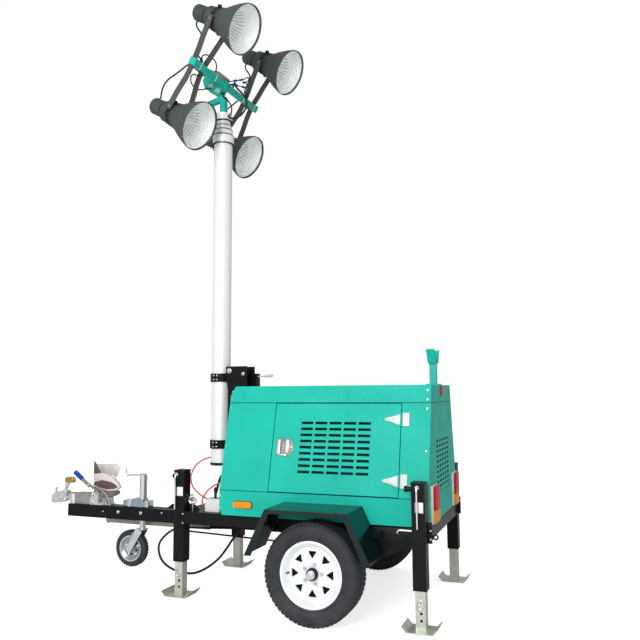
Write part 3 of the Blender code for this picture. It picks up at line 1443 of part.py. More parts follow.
def build_chock():
    """A folded wheel chock, open at its underside, on a short bracket."""
    front = CHOCK_FRONT_X
    bottom = CHOCK_BOTTOM
    low = CHOCK_Y - CHOCK_WIDTH / 2
    high = CHOCK_Y + CHOCK_WIDTH / 2
    ramp_steps = 6

    def ramp(inset):
        points = []
        radius = CHOCK_HEIGHT - inset
        for step in range(ramp_steps + 1):
            turn = pi / 2 * step / ramp_steps
            x = front + CHOCK_LENGTH - inset - (CHOCK_LENGTH - 0.060 - inset) * sin(turn)
            z = bottom + radius * (1 - cos(turn))
            points.append((x, z))
        return points

    outline = ramp(0.0) + [(front, bottom + CHOCK_HEIGHT), (front, bottom)]
    chock = new_part("wheel_chock", prism(outline, low, high, "XZ"), "zinc")
    sheet = CHOCK_SHEET
    hollow = [(x - sheet, z - sheet) for x, z in ramp(sheet)]
    hollow += [(front + sheet, bottom + CHOCK_HEIGHT - sheet), (front + sheet, bottom - 0.02)]
    hollow.append((front + CHOCK_LENGTH - 2 * sheet, bottom - 0.02))
    cut(chock, prism(hollow, low + sheet, high - sheet, "XZ"))
    base = DRAWBAR_TOP + SEAT_GAP
    post_x = COUPLING_REAR_X + 0.012
    join(chock, box((post_x, -0.020, base), (post_x + CHOCK_POST, 0.040, base + 0.010)))
    join(chock, box((post_x, low + 0.001, base + 0.004), (post_x + 0.012, low + 0.030, bottom + 0.050)))


def build_cords():
    for name, radius, colour, parent, points in CORD_ROUTES:
        cord = new_part(
            name,
            tube_along(curved(points, radius), radius, 8),
            colour,
            bpy.data.objects[parent],
        )
        smooth(cord)


def curved(points, radius):
    """Points of a smooth curve through a cord's own points, about five radii apart."""
    places = [Vector(point) for point in points]
    places = [2 * places[0] - places[1]] + places + [2 * places[-1] - places[-2]]
    result = []
    for index in range(1, len(places) - 2):
        before, start, end, after = places[index - 1:index + 3]
        count = max(1, round((end - start).length / (5 * radius)))
        for step in range(count):
            t = step / count
            point = 0.5 * (
                2 * start
                + (end - before) * t
                + (2 * before - 5 * start + 4 * end - after) * t ** 2
                + (3 * start - before - 3 * end + after) * t ** 3
            )
            result.append(point)
    result.append(places[-2])
    return result


# Hoses and cables: hand-placed points, in metres, in the frame of the object that carries them.
HOSE_RADIUS = 0.006
CABLE_RADIUS = 0.0095
LEAD_RADIUS = 0.006
CORD_ROUTES = (
    # node, radius, finish, carried by, points
    (
        "air_hose", HOSE_RADIUS, "red_hose", "trailer",
        (
            (-0.8603, 0.030, 0.895), (-0.885, 0.030, 0.895), (-0.912, 0.055, 0.902), (-0.950, 0.092, 0.908),
            (-0.997, 0.113, 0.908), (-1.054, 0.125, 0.900), (-1.124, 0.125, 0.883), (-1.168, 0.124, 0.868),
            (-1.235, 0.120, 0.845), (-1.299, 0.110, 0.795), (-1.323, 0.090, 0.715), (-1.284, 0.060, 0.645),
            (-1.213, 0.030, 0.602), (-1.138, -0.010, 0.582), (-1.050, -0.060, 0.574), (-0.963, -0.100, 0.573),
            (-0.880, -0.132, 0.580), (-0.820, -0.148, 0.592), (-0.785, -0.150, 0.596), (-0.7503, -0.150, 0.596),
        ),
    ),
    (
        "supply_hose", HOSE_RADIUS, "red_hose", "trailer",
        (
            (-0.7503, -0.245, 0.745), (-0.785, -0.245, 0.745), (-0.827, -0.252, 0.743), (-0.870, -0.260, 0.733),
            (-0.924, -0.272, 0.708), (-0.962, -0.292, 0.672), (-0.976, -0.315, 0.635), (-0.970, -0.338, 0.606),
            (-0.948, -0.354, 0.591), (-0.925, -0.360, 0.588), (-0.9053, -0.360, 0.588),
        ),
    ),
    (
        "mast_cable", CABLE_RADIUS, "black_cable", "trailer",
        (
            (-0.8603, -0.030, 0.790), (-0.890, -0.030, 0.790), (-0.925, -0.036, 0.790), (-0.958, -0.046, 0.776),
            (-0.980, -0.060, 0.745), (-0.983, -0.084, 0.705), (-0.966, -0.135, 0.668), (-0.938, -0.200, 0.655),
            (-0.910, -0.262, 0.668), (-0.884, -0.312, 0.694), (-0.862, -0.345, 0.706), (-0.851, -0.363, 0.690),
            (-0.850, -0.365, 0.665), (-0.850, -0.365, 0.6436),
        ),
    ),
    (
        "brake_lead", LEAD_RADIUS, "black_cable", "trailer",
        (
            (-1.300, -0.030, 0.3883), (-1.300, -0.030, 0.3740), (-1.325, -0.033, 0.3570), (-1.390, -0.042, 0.338),
            (-1.450, -0.050, 0.297), (-1.492, -0.060, 0.245), (-1.496, -0.070, 0.190), (-1.460, -0.086, 0.128),
            (-1.396, -0.100, 0.087), (-1.312, -0.110, 0.063), (-1.198, -0.120, 0.056), (-1.120, -0.126, 0.074),
            (-1.035, -0.132, 0.117), (-0.946, -0.140, 0.184), (-0.880, -0.147, 0.258), (-0.835, -0.150, 0.320),
            (-0.790, -0.150, 0.375), (-0.750, -0.150, 0.416), (-0.7160, -0.150, 0.4430), (-0.7025, -0.150, 0.4550),
            (-0.700, -0.150, 0.4670), (-0.700, -0.150, 0.4836),
        ),
    ),
    (
        "lamp_lead_upper_left", LEAD_RADIUS, "black_cable", "lamp_bar_axis",
        (
            (-0.170, -0.3665, 0.3603), (-0.170, -0.3665, 0.345), (-0.153, -0.367, 0.322), (-0.115, -0.368, 0.303),
            (-0.080, -0.369, 0.282), (-0.060, -0.369, 0.245), (-0.055, -0.366, 0.205), (-0.052, -0.360, 0.165),
            (-0.040, -0.352, 0.134), (-0.018, -0.343, 0.121), (0.002, -0.337, 0.115), (0.010, -0.335, 0.104),
            (0.010, -0.335, 0.0893),
        ),
    ),
    (
        "lamp_lead_upper_right", LEAD_RADIUS, "black_cable", "lamp_bar_axis",
        (
            (-0.170, 0.3665, 0.3603), (-0.170, 0.3665, 0.345), (-0.153, 0.366, 0.322), (-0.115, 0.364, 0.303),
            (-0.080, 0.361, 0.282), (-0.060, 0.357, 0.245), (-0.055, 0.352, 0.205), (-0.052, 0.346, 0.165),
            (-0.040, 0.338, 0.134), (-0.018, 0.330, 0.121), (0.002, 0.325, 0.115), (0.010, 0.323, 0.104),
            (0.010, 0.323, 0.0893),
        ),
    ),
    (
        "lamp_lead_lower_left", LEAD_RADIUS, "black_cable", "lamp_bar_axis",
        (
            (-0.185, -0.3665, -0.2757), (-0.185, -0.3665, -0.258), (-0.200, -0.367, -0.220), (-0.205, -0.367, -0.165),
            (-0.190, -0.366, -0.115), (-0.160, -0.366, -0.075), (-0.130, -0.365, -0.035), (-0.105, -0.362, 0.008),
            (-0.083, -0.358, 0.040), (-0.060, -0.356, 0.057), (-0.042, -0.355, 0.060), (-0.0222, -0.355, 0.060),
        ),
    ),
)

FINISHES = {
    # finish: colour, roughness, metallic
    "green_paint": ((0.02, 0.42, 0.33), 0.35, 0.0),
    "black_frame": ((0.012, 0.013, 0.015), 0.45, 0.0),
    "bare_steel": ((0.42, 0.42, 0.38), 0.45, 0.8),
    "zinc": ((0.55, 0.56, 0.57), 0.35, 0.9),
    "mast_aluminium": ((0.75, 0.74, 0.73), 0.40, 0.6),
    "lamp_grey": ((0.055, 0.065, 0.065), 0.5, 0.0),
    "glass": ((0.80, 0.85, 0.84), 0.05, 0.0),
    "white_rim": ((0.85, 0.86, 0.88), 0.35, 0.0),
    "tyre": ((0.02, 0.02, 0.022), 0.8, 0.0),
    "red_lens": ((0.6, 0.02, 0.03), 0.2, 0.0),
    "white_plastic": ((0.8, 0.8, 0.78), 0.5, 0.0),
    "red_hose": ((0.75, 0.09, 0.05), 0.45, 0.0),
    "black_cable": ((0.012, 0.012, 0.012), 0.55, 0.0),
}


clear_scene()
PARTS = new_collection("mobile_light_tower")
CUTTERS = new_collection("cutters")
TRAILER = new_empty("trailer", (AXLE_X, 0, 0))

build_chassis()
build_axle()
build_wheels()
build_fenders()
build_legs()
build_canopy_sides()
build_doors()
build_canopy_ends()
build_canopy_roof()
build_genset()
build_mast_support()
build_mast()
build_mast_bracket()
build_cradle()
build_mast_head()
build_lamp_bar()
build_yokes()
build_lamps()
build_tail_lights()
build_compressor()
build_drawbar()
build_jockey()
build_coupling()
build_brake_lever()
build_chock()
build_cords()
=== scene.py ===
"""Dresses the mobile light tower: finishes, tyres, lamps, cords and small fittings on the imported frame.

Metres, +Z up, -X is the towing direction and -Y the left side of the trailer.
"""

from math import cos, pi, radians, sin

import bmesh
import bpy
from mathutils import Matrix, Vector


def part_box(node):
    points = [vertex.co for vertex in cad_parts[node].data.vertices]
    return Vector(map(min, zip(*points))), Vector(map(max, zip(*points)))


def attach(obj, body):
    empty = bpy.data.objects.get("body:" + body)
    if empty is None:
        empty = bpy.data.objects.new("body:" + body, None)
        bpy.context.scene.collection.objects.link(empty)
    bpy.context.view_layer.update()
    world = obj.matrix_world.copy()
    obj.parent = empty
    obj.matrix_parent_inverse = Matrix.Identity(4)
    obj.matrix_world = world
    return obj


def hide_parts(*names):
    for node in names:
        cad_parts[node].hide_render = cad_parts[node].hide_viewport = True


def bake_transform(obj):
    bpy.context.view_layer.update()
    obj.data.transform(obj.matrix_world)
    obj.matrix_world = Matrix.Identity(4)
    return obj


bl_info = {
    "name": "Mobile light tower looks",
    "version": (1, 0, 0),
    "blender": (4, 5, 0),
    "location": "View3D > Sidebar > Light Tower",
    "description": "Builds the finishes and small pieces of a towable light tower",
    "category": "Object",
}

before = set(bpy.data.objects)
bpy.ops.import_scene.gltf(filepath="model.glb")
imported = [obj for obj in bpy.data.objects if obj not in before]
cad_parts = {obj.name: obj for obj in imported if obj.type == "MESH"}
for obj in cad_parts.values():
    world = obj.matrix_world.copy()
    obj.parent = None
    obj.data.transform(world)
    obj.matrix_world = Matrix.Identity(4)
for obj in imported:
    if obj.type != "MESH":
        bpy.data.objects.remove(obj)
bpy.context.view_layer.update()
AXLE_X = sum(corner.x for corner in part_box("tyre_left")) / 2
SIDES = (("left", -1), ("right", 1))

# Canopy
KNEE_Z = 0.722
EAVES_Z = 1.292
ROOF_Z = 1.404
HALF_BASE = 0.494
HALF_EAVES = 0.35
HALF_ROOF = 0.328
CANOPY_REAR = 0.65

# Wheels
WHEEL_Y = 0.683
WHEEL_RADIUS = 0.3

# Mast and lamp head
MAST_X = -1.015
PIVOT_X = -0.905
PIVOT_Z = 1.524
HEAD_YAW = radians(3.0)
HEAD_TILT = radians(29.6)
HEAD_PIVOT_X = -1.055
HEAD_PIVOT_Z = 3.737
BAR_FORWARD = 0.0154
BAR_RISE = 0.064
ARM_X = -0.0299
LAMP_Y = 0.3665
LAMP_HEIGHTS = {"upper": 0.4228, "lower": -0.3383}
LAMP_REAR = -0.178

# Legs
LEGS = {
    "front_left": (-1.08, -0.42),
    "front_right": (-1.08, 0.42),
    "rear_left": (0.61, -0.56),
    "rear_right": (0.61, 0.56),
}
LEG_HALF = 0.04
LEG_TOP = 0.835

# Drawbar
JOCKEY_WHEEL = (-1.783, 0.0, 0.17)

FINISHES = {}


def at(x, y, z):
    """A point given from the wheel axle, in the frame's own coordinates."""
    return Vector((x + AXLE_X, y, z))


def head_matrix():
    """The lamp bar's own frame: tilted about the bar's pivot and turned on the mast."""
    turn = Matrix.Translation(at(MAST_X, 0, 0)) @ Matrix.Rotation(-HEAD_YAW, 4, "Z")
    pivot = Matrix.Translation((HEAD_PIVOT_X - MAST_X, 0, HEAD_PIVOT_Z))
    return turn @ pivot @ Matrix.Rotation(HEAD_TILT, 4, "Y")


HEAD = head_matrix()


def lamp_matrix(row, side):
    """A floodlight's frame, with +Z along the way it shines."""
    place = Matrix.Translation((ARM_X, side * LAMP_Y, LAMP_HEIGHTS[row]))
    return HEAD @ place @ Matrix.Rotation(pi / 2, 4, "Y")


def wheel_matrix(side, along=0.0):
    """A road wheel's frame, with +Z pointing away from the trailer."""
    place = Matrix.Translation(at(0, side * (WHEEL_Y + along), WHEEL_RADIUS))
    return place @ Matrix.Rotation(-side * pi / 2, 4, "X")


def half_width(z):
    """Outer half width of the canopy at a height."""
    if z <= KNEE_Z:
        return HALF_BASE
    if z <= EAVES_Z:
        return HALF_BASE + (HALF_EAVES - HALF_BASE) * (z - KNEE_Z) / (EAVES_Z - KNEE_Z)
    return HALF_EAVES + (HALF_ROOF - HALF_EAVES) * (z - EAVES_Z) / (ROOF_Z - EAVES_Z)


def side_matrix(side, x, z):
    """A frame on the canopy's side: +Y runs up the slope and +Z points outwards."""
    step = 0.01
    lean = (half_width(z + step) - half_width(z - step)) / (2 * step)
    up = Vector((0, side * lean, 1)).normalized()
    along = Vector((-side, 0, 0))
    out = along.cross(up)
    place = at(x, side * half_width(z), z)
    return Matrix.Translation(place) @ Matrix((along, up, out)).transposed().to_4x4()


def facing_matrix(place, direction, up=(0, 0, 1)):
    """A frame at a point, with +Z along a direction and +Y as near to up as it goes."""
    out = Vector(direction).normalized()
    across = Vector(up).cross(out)
    if across.length < 0.001:
        across = Vector((0, 1, 0)).cross(out)
    across.normalize()
    rise = out.cross(across)
    return Matrix.Translation(place) @ Matrix((across, rise, out)).transposed().to_4x4()


def outwards(matrix):
    """The way that a frame's +Z points."""
    return matrix.to_3x3() @ Vector((0, 0, 1))


def span(side, near, far):
    """The low and high y of something that lies between two distances out to one side."""
    return sorted((side * near, side * far))


# Shapes


def placed(shape, matrix):
    shape.transform(matrix)
    return shape


def mended(shape):
    """The shape with all its faces outwards."""
    bmesh.ops.recalc_face_normals(shape, faces=shape.faces)
    return shape


def softened(shape, bevel, segments):
    """The shape with every edge rounded."""
    if bevel:
        bmesh.ops.bevel(
            shape, geom=shape.edges[:], offset=bevel, segments=segments, profile=0.5, affect="EDGES"
        )
    return shape


def block(low, high, bevel=0.0, segments=2):
    """A box between two corners, with rounded edges."""
    low = Vector(low)
    high = Vector(high)
    shape = bmesh.new()
    matrix = Matrix.Translation((low + high) / 2) @ Matrix.Diagonal((*(high - low), 1.0))
    bmesh.ops.create_cube(shape, size=1.0, matrix=matrix)
    return softened(shape, bevel, segments)


def box_from(low, high, bevel=0.002):
    """A box between two corners that are given from the axle."""
    return block(at(*low), at(*high), bevel)


def slab(outline, low, high, bevel=0.0, segments=2):
    """A flat outline in XY with a thickness along Z and rounded edges."""
    shape = bmesh.new()
    face = shape.faces.new([shape.verts.new((x, y, low)) for x, y in outline])
    grown = bmesh.ops.extrude_face_region(shape, geom=[face])["geom"]
    moved = [item for item in grown if isinstance(item, bmesh.types.BMVert)]
    bmesh.ops.translate(shape, verts=moved, vec=(0, 0, high - low))
    return softened(mended(shape), bevel, segments)


def profile_slab(outline, low_y, high_y, bevel=0.0015):
    """An outline of (x, z) points from the axle, drawn out along Y."""
    corners = [(x + AXLE_X, z) for x, z in outline]
    return mended(placed(slab(corners, -high_y, -low_y, bevel), Matrix.Rotation(pi / 2, 4, "X")))


def rounded_outline(half_x, half_y, radius, steps=5):
    """A rectangle with round corners, about the origin."""
    points = []
    for quarter, (sx, sy) in enumerate(((1, 1), (-1, 1), (-1, -1), (1, -1))):
        for step in range(steps + 1):
            turn = pi / 2 * (quarter + step / steps)
            centre_x = sx * (half_x - radius)
            centre_y = sy * (half_y - radius)
            points.append((centre_x + radius * cos(turn), centre_y + radius * sin(turn)))
    return points


def mirrored(half):
    """A closed profile from the half of it that lies above the middle."""
    return [*half, *((radius, -height) for radius, height in reversed(half))]


def lathe(profile, segments=64, closed=False, mapped=False):
    """A turned shape about Z from (radius, height) points; open profiles start and end on the axis."""
    shape = bmesh.new()
    layer = shape.loops.layers.uv.new("turned") if mapped else None
    rings = []
    for radius, height in profile:
        if radius < 1e-6:
            rings.append([shape.verts.new((0, 0, height))] * segments)
            continue
        turns = [2 * pi * step / segments for step in range(segments)]
        rings.append([shape.verts.new((radius * cos(turn), radius * sin(turn), height)) for turn in turns])
    pairs = list(zip(rings, rings[1:]))
    if closed:
        pairs.append((rings[-1], rings[0]))
    for number, (first, second) in enumerate(pairs):
        for step in range(segments):
            after = (step + 1) % segments
            unique = list(dict.fromkeys((first[step], first[after], second[after], second[step])))
            if len(unique) < 3:
                continue
            face = shape.faces.new(unique)
            if mapped:
                for loop in face.loops:
                    around = (step + (loop.vert in (first[after], second[after]))) / segments
                    along = (number + (loop.vert not in (first[step], first[after]))) / len(pairs)
                    loop[layer].uv = (around, along)
    return mended(shape)


def turned(profile, matrix, segments=24, closed=False):
    """A turned shape in the frame of a matrix."""
    return placed(lathe(profile, segments, closed), matrix)


def ring_shape(centre, direction, radius, wire_radius):
    """A round ring whose axis is a direction."""
    turns = [2 * pi * number / 8 for number in range(8)]
    section = [(radius + wire_radius * cos(turn), wire_radius * sin(turn)) for turn in turns]
    return turned(section, facing_matrix(centre, direction), 32, closed=True)


def hole_shade_disc(radius, place, direction):
    """A thin dark disc on a surface where there is a hole: painted shade in place of the opening."""
    profile = [(0.0, 0.0), (radius, 0.0), (radius, 0.0004), (0.0, 0.0004)]
    return turned(profile, facing_matrix(place, direction), 20)


def swept(rings):
    """A closed skin over rings of points, from the first ring to the last."""
    shape = bmesh.new()
    rings = [[shape.verts.new(point) for point in ring] for ring in rings]
    for first, second in zip(rings, rings[1:]):
        for side in range(len(first)):
            after = (side + 1) % len(first)
            shape.faces.new((first[side], first[after], second[after], second[side]))
    shape.faces.new(rings[0][::-1])
    shape.faces.new(rings[-1])
    return mended(shape)


def headings(places):
    """The way ahead at each point of a route."""
    last = len(places) - 1
    return [
        (places[min(index + 1, last)] - places[max(index - 1, 0)]).normalized() for index in range(last + 1)
    ]


def wire(points, radius, sides=10, radii=None):
    """A round tube swept along points, with closed ends."""
    places = [Vector(point) for point in points]
    radii = radii or [radius] * len(places)
    direction = (places[1] - places[0]).normalized()
    normal = direction.orthogonal().normalized()
    turns = [2 * pi * side / sides for side in range(sides)]
    rings = []
    for place, ahead, reach in zip(places, headings(places), radii):
        normal = direction.rotation_difference(ahead) @ normal
        normal = (normal - ahead * normal.dot(ahead)).normalized()
        direction = ahead
        across = direction.cross(normal)
        rings.append([place + (normal * cos(turn) + across * sin(turn)) * reach for turn in turns])
    return swept(rings)


def strap(points, width, thickness, across, bevel=0.0012):
    """A flat bar bent along points, with its width as near as it goes to a direction."""
    places = [Vector(point) for point in points]
    across = Vector(across)
    half_w = width / 2
    half_t = thickness / 2
    flat_w = half_w - bevel
    flat_t = half_t - bevel
    half = ((flat_w, half_t), (half_w, flat_t), (half_w, -flat_t), (flat_w, -half_t))
    section = (*half, *((-w, -t) for w, t in half))
    rings = []
    for place, ahead in zip(places, headings(places)):
        wide = (across - ahead * ahead.dot(across)).normalized()
        flat = ahead.cross(wide)
        rings.append([place + wide * w + flat * t for w, t in section])
    return swept(rings)


def smoothed(points, spacing):
    """Points of a smooth curve through given points, about one spacing apart."""
    places = [Vector(point) for point in points]
    places = [2 * places[0] - places[1]] + places + [2 * places[-1] - places[-2]]
    result = []
    for index in range(1, len(places) - 2):
        before, start, end, after = places[index - 1:index + 3]
        count = max(1, round((end - start).length / spacing))
        for step in range(count):
            t = step / count
            point = 2 * start + (end - before) * t
            point += (2 * before - 5 * start + 4 * end - after) * t ** 2
            point += (3 * start - before - 3 * end + after) * t ** 3
            result.append(point / 2)
    result.append(places[-2])
    return result


def tube(points, radius, spacing=0.01, sides=12):
    """A round tube along a smooth curve through points given from the axle."""
    return wire(smoothed([at(*point) for point in points], spacing), radius, sides)


def mesh_of(name, shapes):
    """One mesh from several shapes, with smooth faces and kept edges."""
    whole = bmesh.new()
    for shape in shapes:
        loose = bpy.data.meshes.new("loose")
        shape.to_mesh(loose)
        shape.free()
        whole.from_mesh(loose)
        bpy.data.meshes.remove(loose)
    mesh = bpy.data.meshes.new(name)
    whole.to_mesh(mesh)
    whole.free()
    mesh.shade_smooth()
    mesh.set_sharp_from_angle(angle=radians(35))
    return mesh


def link(name, mesh, finish=None):
    obj = bpy.data.objects.new(name, mesh)
    bpy.context.scene.collection.objects.link(obj)
    if finish:
        mesh.materials.clear()
        mesh.materials.append(FINISHES[finish])
    return obj


def piece(name, shapes, finish, body="trailer", replaces=()):
    """Adds a piece of one finish that rides on a body and may stand for CAD nodes."""
    obj = link(name, mesh_of(name, shapes), finish)
    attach(obj, body)
    if replaces:
        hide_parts(*replaces)
    return obj


# Repeated pieces

FLOAT = "NodeSocketFloat"
GEOMETRY = "NodeSocketGeometry"


def add_node(tree, kind, inputs=None, **settings):
    """A node with its settings; each input gets a value, or a link where a socket is given."""
    node = tree.nodes.new(kind)
    for name, value in settings.items():
        setattr(node, name, value)
    for key, value in (inputs or {}).items():
        if isinstance(value, bpy.types.NodeSocket):
            tree.links.new(value, node.inputs[key])
        else:
            node.inputs[key].default_value = value
    return node


def maths(tree, operation, *values, clamp=False):
    """The result of a math node on values or sockets."""
    node = add_node(tree, "ShaderNodeMath", dict(enumerate(values)), operation=operation, use_clamp=clamp)
    return node.outputs[0]


def combined(tree, **parts):
    """A vector whose X, Y and Z are values or sockets."""
    return add_node(tree, "ShaderNodeCombineXYZ", parts).outputs[0]


def node_group(name, kind, inputs, outputs):
    """A group with named sockets; returns the tree, the sockets given to it and those of its result."""
    tree = bpy.data.node_groups.new(name, kind)
    for label, socket_type, default in inputs:
        socket = tree.interface.new_socket(label, in_out="INPUT", socket_type=socket_type)
        if default is not None:
            socket.default_value = default
    for label, socket_type in outputs:
        tree.interface.new_socket(label, in_out="OUTPUT", socket_type=socket_type)
    return tree, add_node(tree, "NodeGroupInput").outputs, add_node(tree, "NodeGroupOutput").inputs


def geometry_tree(name, counted, count, sizes):
    """A geometry group with one whole-number input, several sizes and a finish."""
    inputs = (
        ("Geometry", GEOMETRY, None), (counted, "NodeSocketInt", count),
        *((label, FLOAT, default) for label, default in sizes), ("Finish", "NodeSocketMaterial", None),
    )
    return node_group(name, "GeometryNodeTree", inputs, (("Geometry", GEOMETRY),))


def fastener_tree():
    """Heads with washers on every point, each facing along the point's own direction."""
    tree, given, result = geometry_tree("fastener_heads", "Sides", 6, (
        ("Head Radius", 0.008), ("Head Height", 0.005), ("Washer Radius", 0.011), ("Washer Height", 0.0015),
        ("Taper", 0.86),
    ))
    washer = add_node(tree, "GeometryNodeMeshCone", {
        "Vertices": 16, "Radius Top": given["Washer Radius"], "Radius Bottom": given["Washer Radius"],
        "Depth": given["Washer Height"],
    })
    head = add_node(tree, "GeometryNodeMeshCone", {
        "Vertices": given["Sides"], "Radius Bottom": given["Head Radius"], "Depth": given["Head Height"],
        "Radius Top": maths(tree, "MULTIPLY", given["Head Radius"], given["Taper"]),
    })
    raised = add_node(tree, "GeometryNodeTransform", {
        "Geometry": head.outputs["Mesh"], "Translation": combined(tree, Z=given["Washer Height"]),
    })
    joined = add_node(tree, "GeometryNodeJoinGeometry", {0: raised.outputs[0]})
    tree.links.new(washer.outputs["Mesh"], joined.inputs[0])
    facing = add_node(tree, "GeometryNodeInputNamedAttribute", {"Name": "facing"}, data_type="FLOAT_VECTOR")
    ahead = {"Vector": facing.outputs["Attribute"]}
    turn = add_node(tree, "FunctionNodeAlignRotationToVector", ahead, axis="Z")
    points = add_node(tree, "GeometryNodeMeshToPoints", {0: given["Geometry"]})
    copies = add_node(tree, "GeometryNodeInstanceOnPoints", {
        "Points": points.outputs[0], "Instance": joined.outputs[0], "Rotation": turn.outputs[0],
    })
    finish_tree(tree, given["Finish"], copies.outputs[0], result)
    return tree


def ring_tree():
    """Blocks set round an axis, as tread lugs are."""
    tree, given, result = geometry_tree("ring_of_blocks", "Count", 60, (
        ("Ring Radius", 0.29), ("Ring Height", 0.0), ("Block Depth", 0.01), ("Block Length", 0.02),
        ("Block Width", 0.02), ("Slant", 0.0), ("Lean", 0.0), ("Phase", 0.0),
    ))
    cube = add_node(tree, "GeometryNodeMeshCube", {
        "Size": combined(tree, X=given["Block Depth"], Y=given["Block Length"], Z=given["Block Width"]),
    })
    moved = add_node(tree, "GeometryNodeTransform", {
        "Geometry": cube.outputs["Mesh"],
        "Translation": combined(tree, X=given["Ring Radius"], Z=given["Ring Height"]),
        "Rotation": combined(tree, X=given["Slant"], Y=given["Lean"]),
    })
    line = add_node(tree, "GeometryNodeMeshLine", {"Offset": (0, 0, 0), "Count": given["Count"]})
    index = add_node(tree, "GeometryNodeInputIndex").outputs[0]
    share = maths(tree, "DIVIDE", maths(tree, "ADD", index, given["Phase"]), given["Count"])
    copies = add_node(tree, "GeometryNodeInstanceOnPoints", {
        "Points": line.outputs["Mesh"], "Instance": moved.outputs[0],
        "Rotation": combined(tree, Z=maths(tree, "MULTIPLY", share, 2 * pi)),
    })
    finish_tree(tree, given["Finish"], copies.outputs[0], result)
    return tree


def finish_tree(tree, finish, instances, result):
    """Ends a tree in real, flat-shaded geometry with its material."""
    real = add_node(tree, "GeometryNodeRealizeInstances", {0: instances})
    flat = add_node(tree, "GeometryNodeSetShadeSmooth", {0: real.outputs[0], "Shade Smooth": False})
    dressed = add_node(tree, "GeometryNodeSetMaterial", {"Geometry": flat.outputs[0], "Material": finish})
    tree.links.new(dressed.outputs[0], result[0])


TREES = {}


def tree_named(name):
    if name not in TREES:
        TREES[name] = {"fasteners": fastener_tree, "ring": ring_tree}[name]()
    return TREES[name]


def final_mesh(obj):
    """The mesh of an object with its modifiers."""
    bpy.context.view_layer.update()
    graph = bpy.context.evaluated_depsgraph_get()
    return bpy.data.meshes.new_from_object(obj.evaluated_get(graph), depsgraph=graph)


def grown_mesh(name, start, tree, values):
    """The mesh that a geometry tree makes from a start mesh and its input values."""
    obj = link(name, start)
    modifier = obj.modifiers.new("Repeat", "NODES")
    modifier.node_group = tree
    for item in tree.interface.items_tree:
        if item.in_out == "INPUT" and item.name in values:
            modifier[item.identifier] = values[item.name]
    mesh = final_mesh(obj)
    bpy.data.objects.remove(obj)
    return mesh


FASTENERS = {
    # kind: head radius, head height, washer radius, washer height, taper, sides
    "panel_bolt": (0.0038, 0.0026, 0.0052, 0.0009, 0.6, 14),
    "frame_bolt": (0.0095, 0.007, 0.013, 0.002, 0.88, 6),
    "large_bolt": (0.015, 0.01, 0.02, 0.0025, 0.88, 6),
    "small_nut": (0.0045, 0.004, 0.0058, 0.001, 0.88, 6),
    "tiny_screw": (0.0032, 0.0016, 0.0034, 0.0004, 0.6, 10),
    "wheel_nut": (0.01, 0.013, 0.0125, 0.002, 0.8, 6),
    "rivet": (0.004, 0.002, 0.0042, 0.0003, 0.45, 10),
}


def fasteners(name, kind, spots, finish="bolt_silver", body="trailer", head_radius=None):
    """Screws, bolts or rivets of one kind at (place, direction) spots."""
    head, height, washer, washer_height, taper, sides = FASTENERS[kind]
    start = bpy.data.meshes.new(name)
    start.from_pydata([tuple(place) for place, _ in spots], [], [])
    facing = start.attributes.new("facing", "FLOAT_VECTOR", "POINT")
    for item, (_, direction) in zip(facing.data, spots):
        item.vector = Vector(direction).normalized()
    values = {
        "Head Radius": head_radius or head, "Head Height": height, "Washer Radius": washer,
        "Washer Height": washer_height, "Taper": taper, "Sides": sides, "Finish": FINISHES[finish],
    }
    mesh = grown_mesh(name, start, tree_named("fasteners"), values)
    mesh.name = name
    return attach(link(name, mesh), body)


def ring_blocks(matrix, **values):
    """Blocks round an axis as a shape, in the frame of a matrix."""
    values = {name.replace("_", " ").title(): value for name, value in values.items()}
    values["Finish"] = FINISHES["tyre_rubber"]
    mesh = grown_mesh("ring", bpy.data.meshes.new("ring"), tree_named("ring"), values)
    shape = bmesh.new()
    shape.from_mesh(mesh)
    bpy.data.meshes.remove(mesh)
    return placed(shape, matrix)


# Finishes


class Shading:
    """A material under construction: its Principled shader and short calls that add nodes."""

    def __init__(self, name, colour, roughness, metallic=0.0, **constants):
        self.material = bpy.data.materials.new(name)
        self.material.use_nodes = True
        self.tree = self.material.node_tree
        self.shader = self.tree.nodes["Principled BSDF"]
        self.shader.inputs["Base Color"].default_value = (*colour, 1.0)
        self.shader.inputs["Roughness"].default_value = roughness
        self.shader.inputs["Metallic"].default_value = metallic
        for label, value in constants.items():
            self.shader.inputs[label.replace("_", " ").title().replace("Ior", "IOR")].default_value = value
        self.coordinates = self.add("ShaderNodeTexCoord").outputs["Object"]
        FINISHES[name] = self.material

    def add(self, kind, inputs=None, **settings):
        return add_node(self.tree, kind, inputs, **settings)

    def join(self, output, target):
        self.tree.links.new(output, target)

    def effect(self, name, **values):
        """A shader group placed in this material with its own values."""
        node = self.add("ShaderNodeGroup", node_tree=EFFECTS[name])
        for label, value in values.items():
            node.inputs[label.replace("_", " ")].default_value = value
        self.join(self.coordinates, node.inputs["Vector"])
        return node

    def blend(self, mask, first, second):
        """A colour that goes from the first to the second with a mask; each is a colour or a socket."""
        first, second = ((*value, 1.0) if isinstance(value, tuple) else value for value in (first, second))
        return self.add("ShaderNodeMix", {"Factor": mask, 6: first, 7: second}, data_type="RGBA").outputs[2]

    def range(self, value, low, high):
        """A value from 0 to 1 carried to another range."""
        inputs = {"Value": value, "To Min": low, "To Max": high}
        return self.add("ShaderNodeMapRange", inputs).outputs["Result"]

    def bump(self, height, distance, strength, normal=None):
        inputs = {"Height": height, "Distance": distance, "Strength": strength}
        if normal is not None:
            inputs["Normal"] = normal
        self.join(self.add("ShaderNodeBump", inputs).outputs["Normal"], self.shader.inputs["Normal"])

    def colour(self, output):
        self.join(output, self.shader.inputs["Base Color"])

    def roughness(self, output):
        self.join(output, self.shader.inputs["Roughness"])


EFFECTS = {}


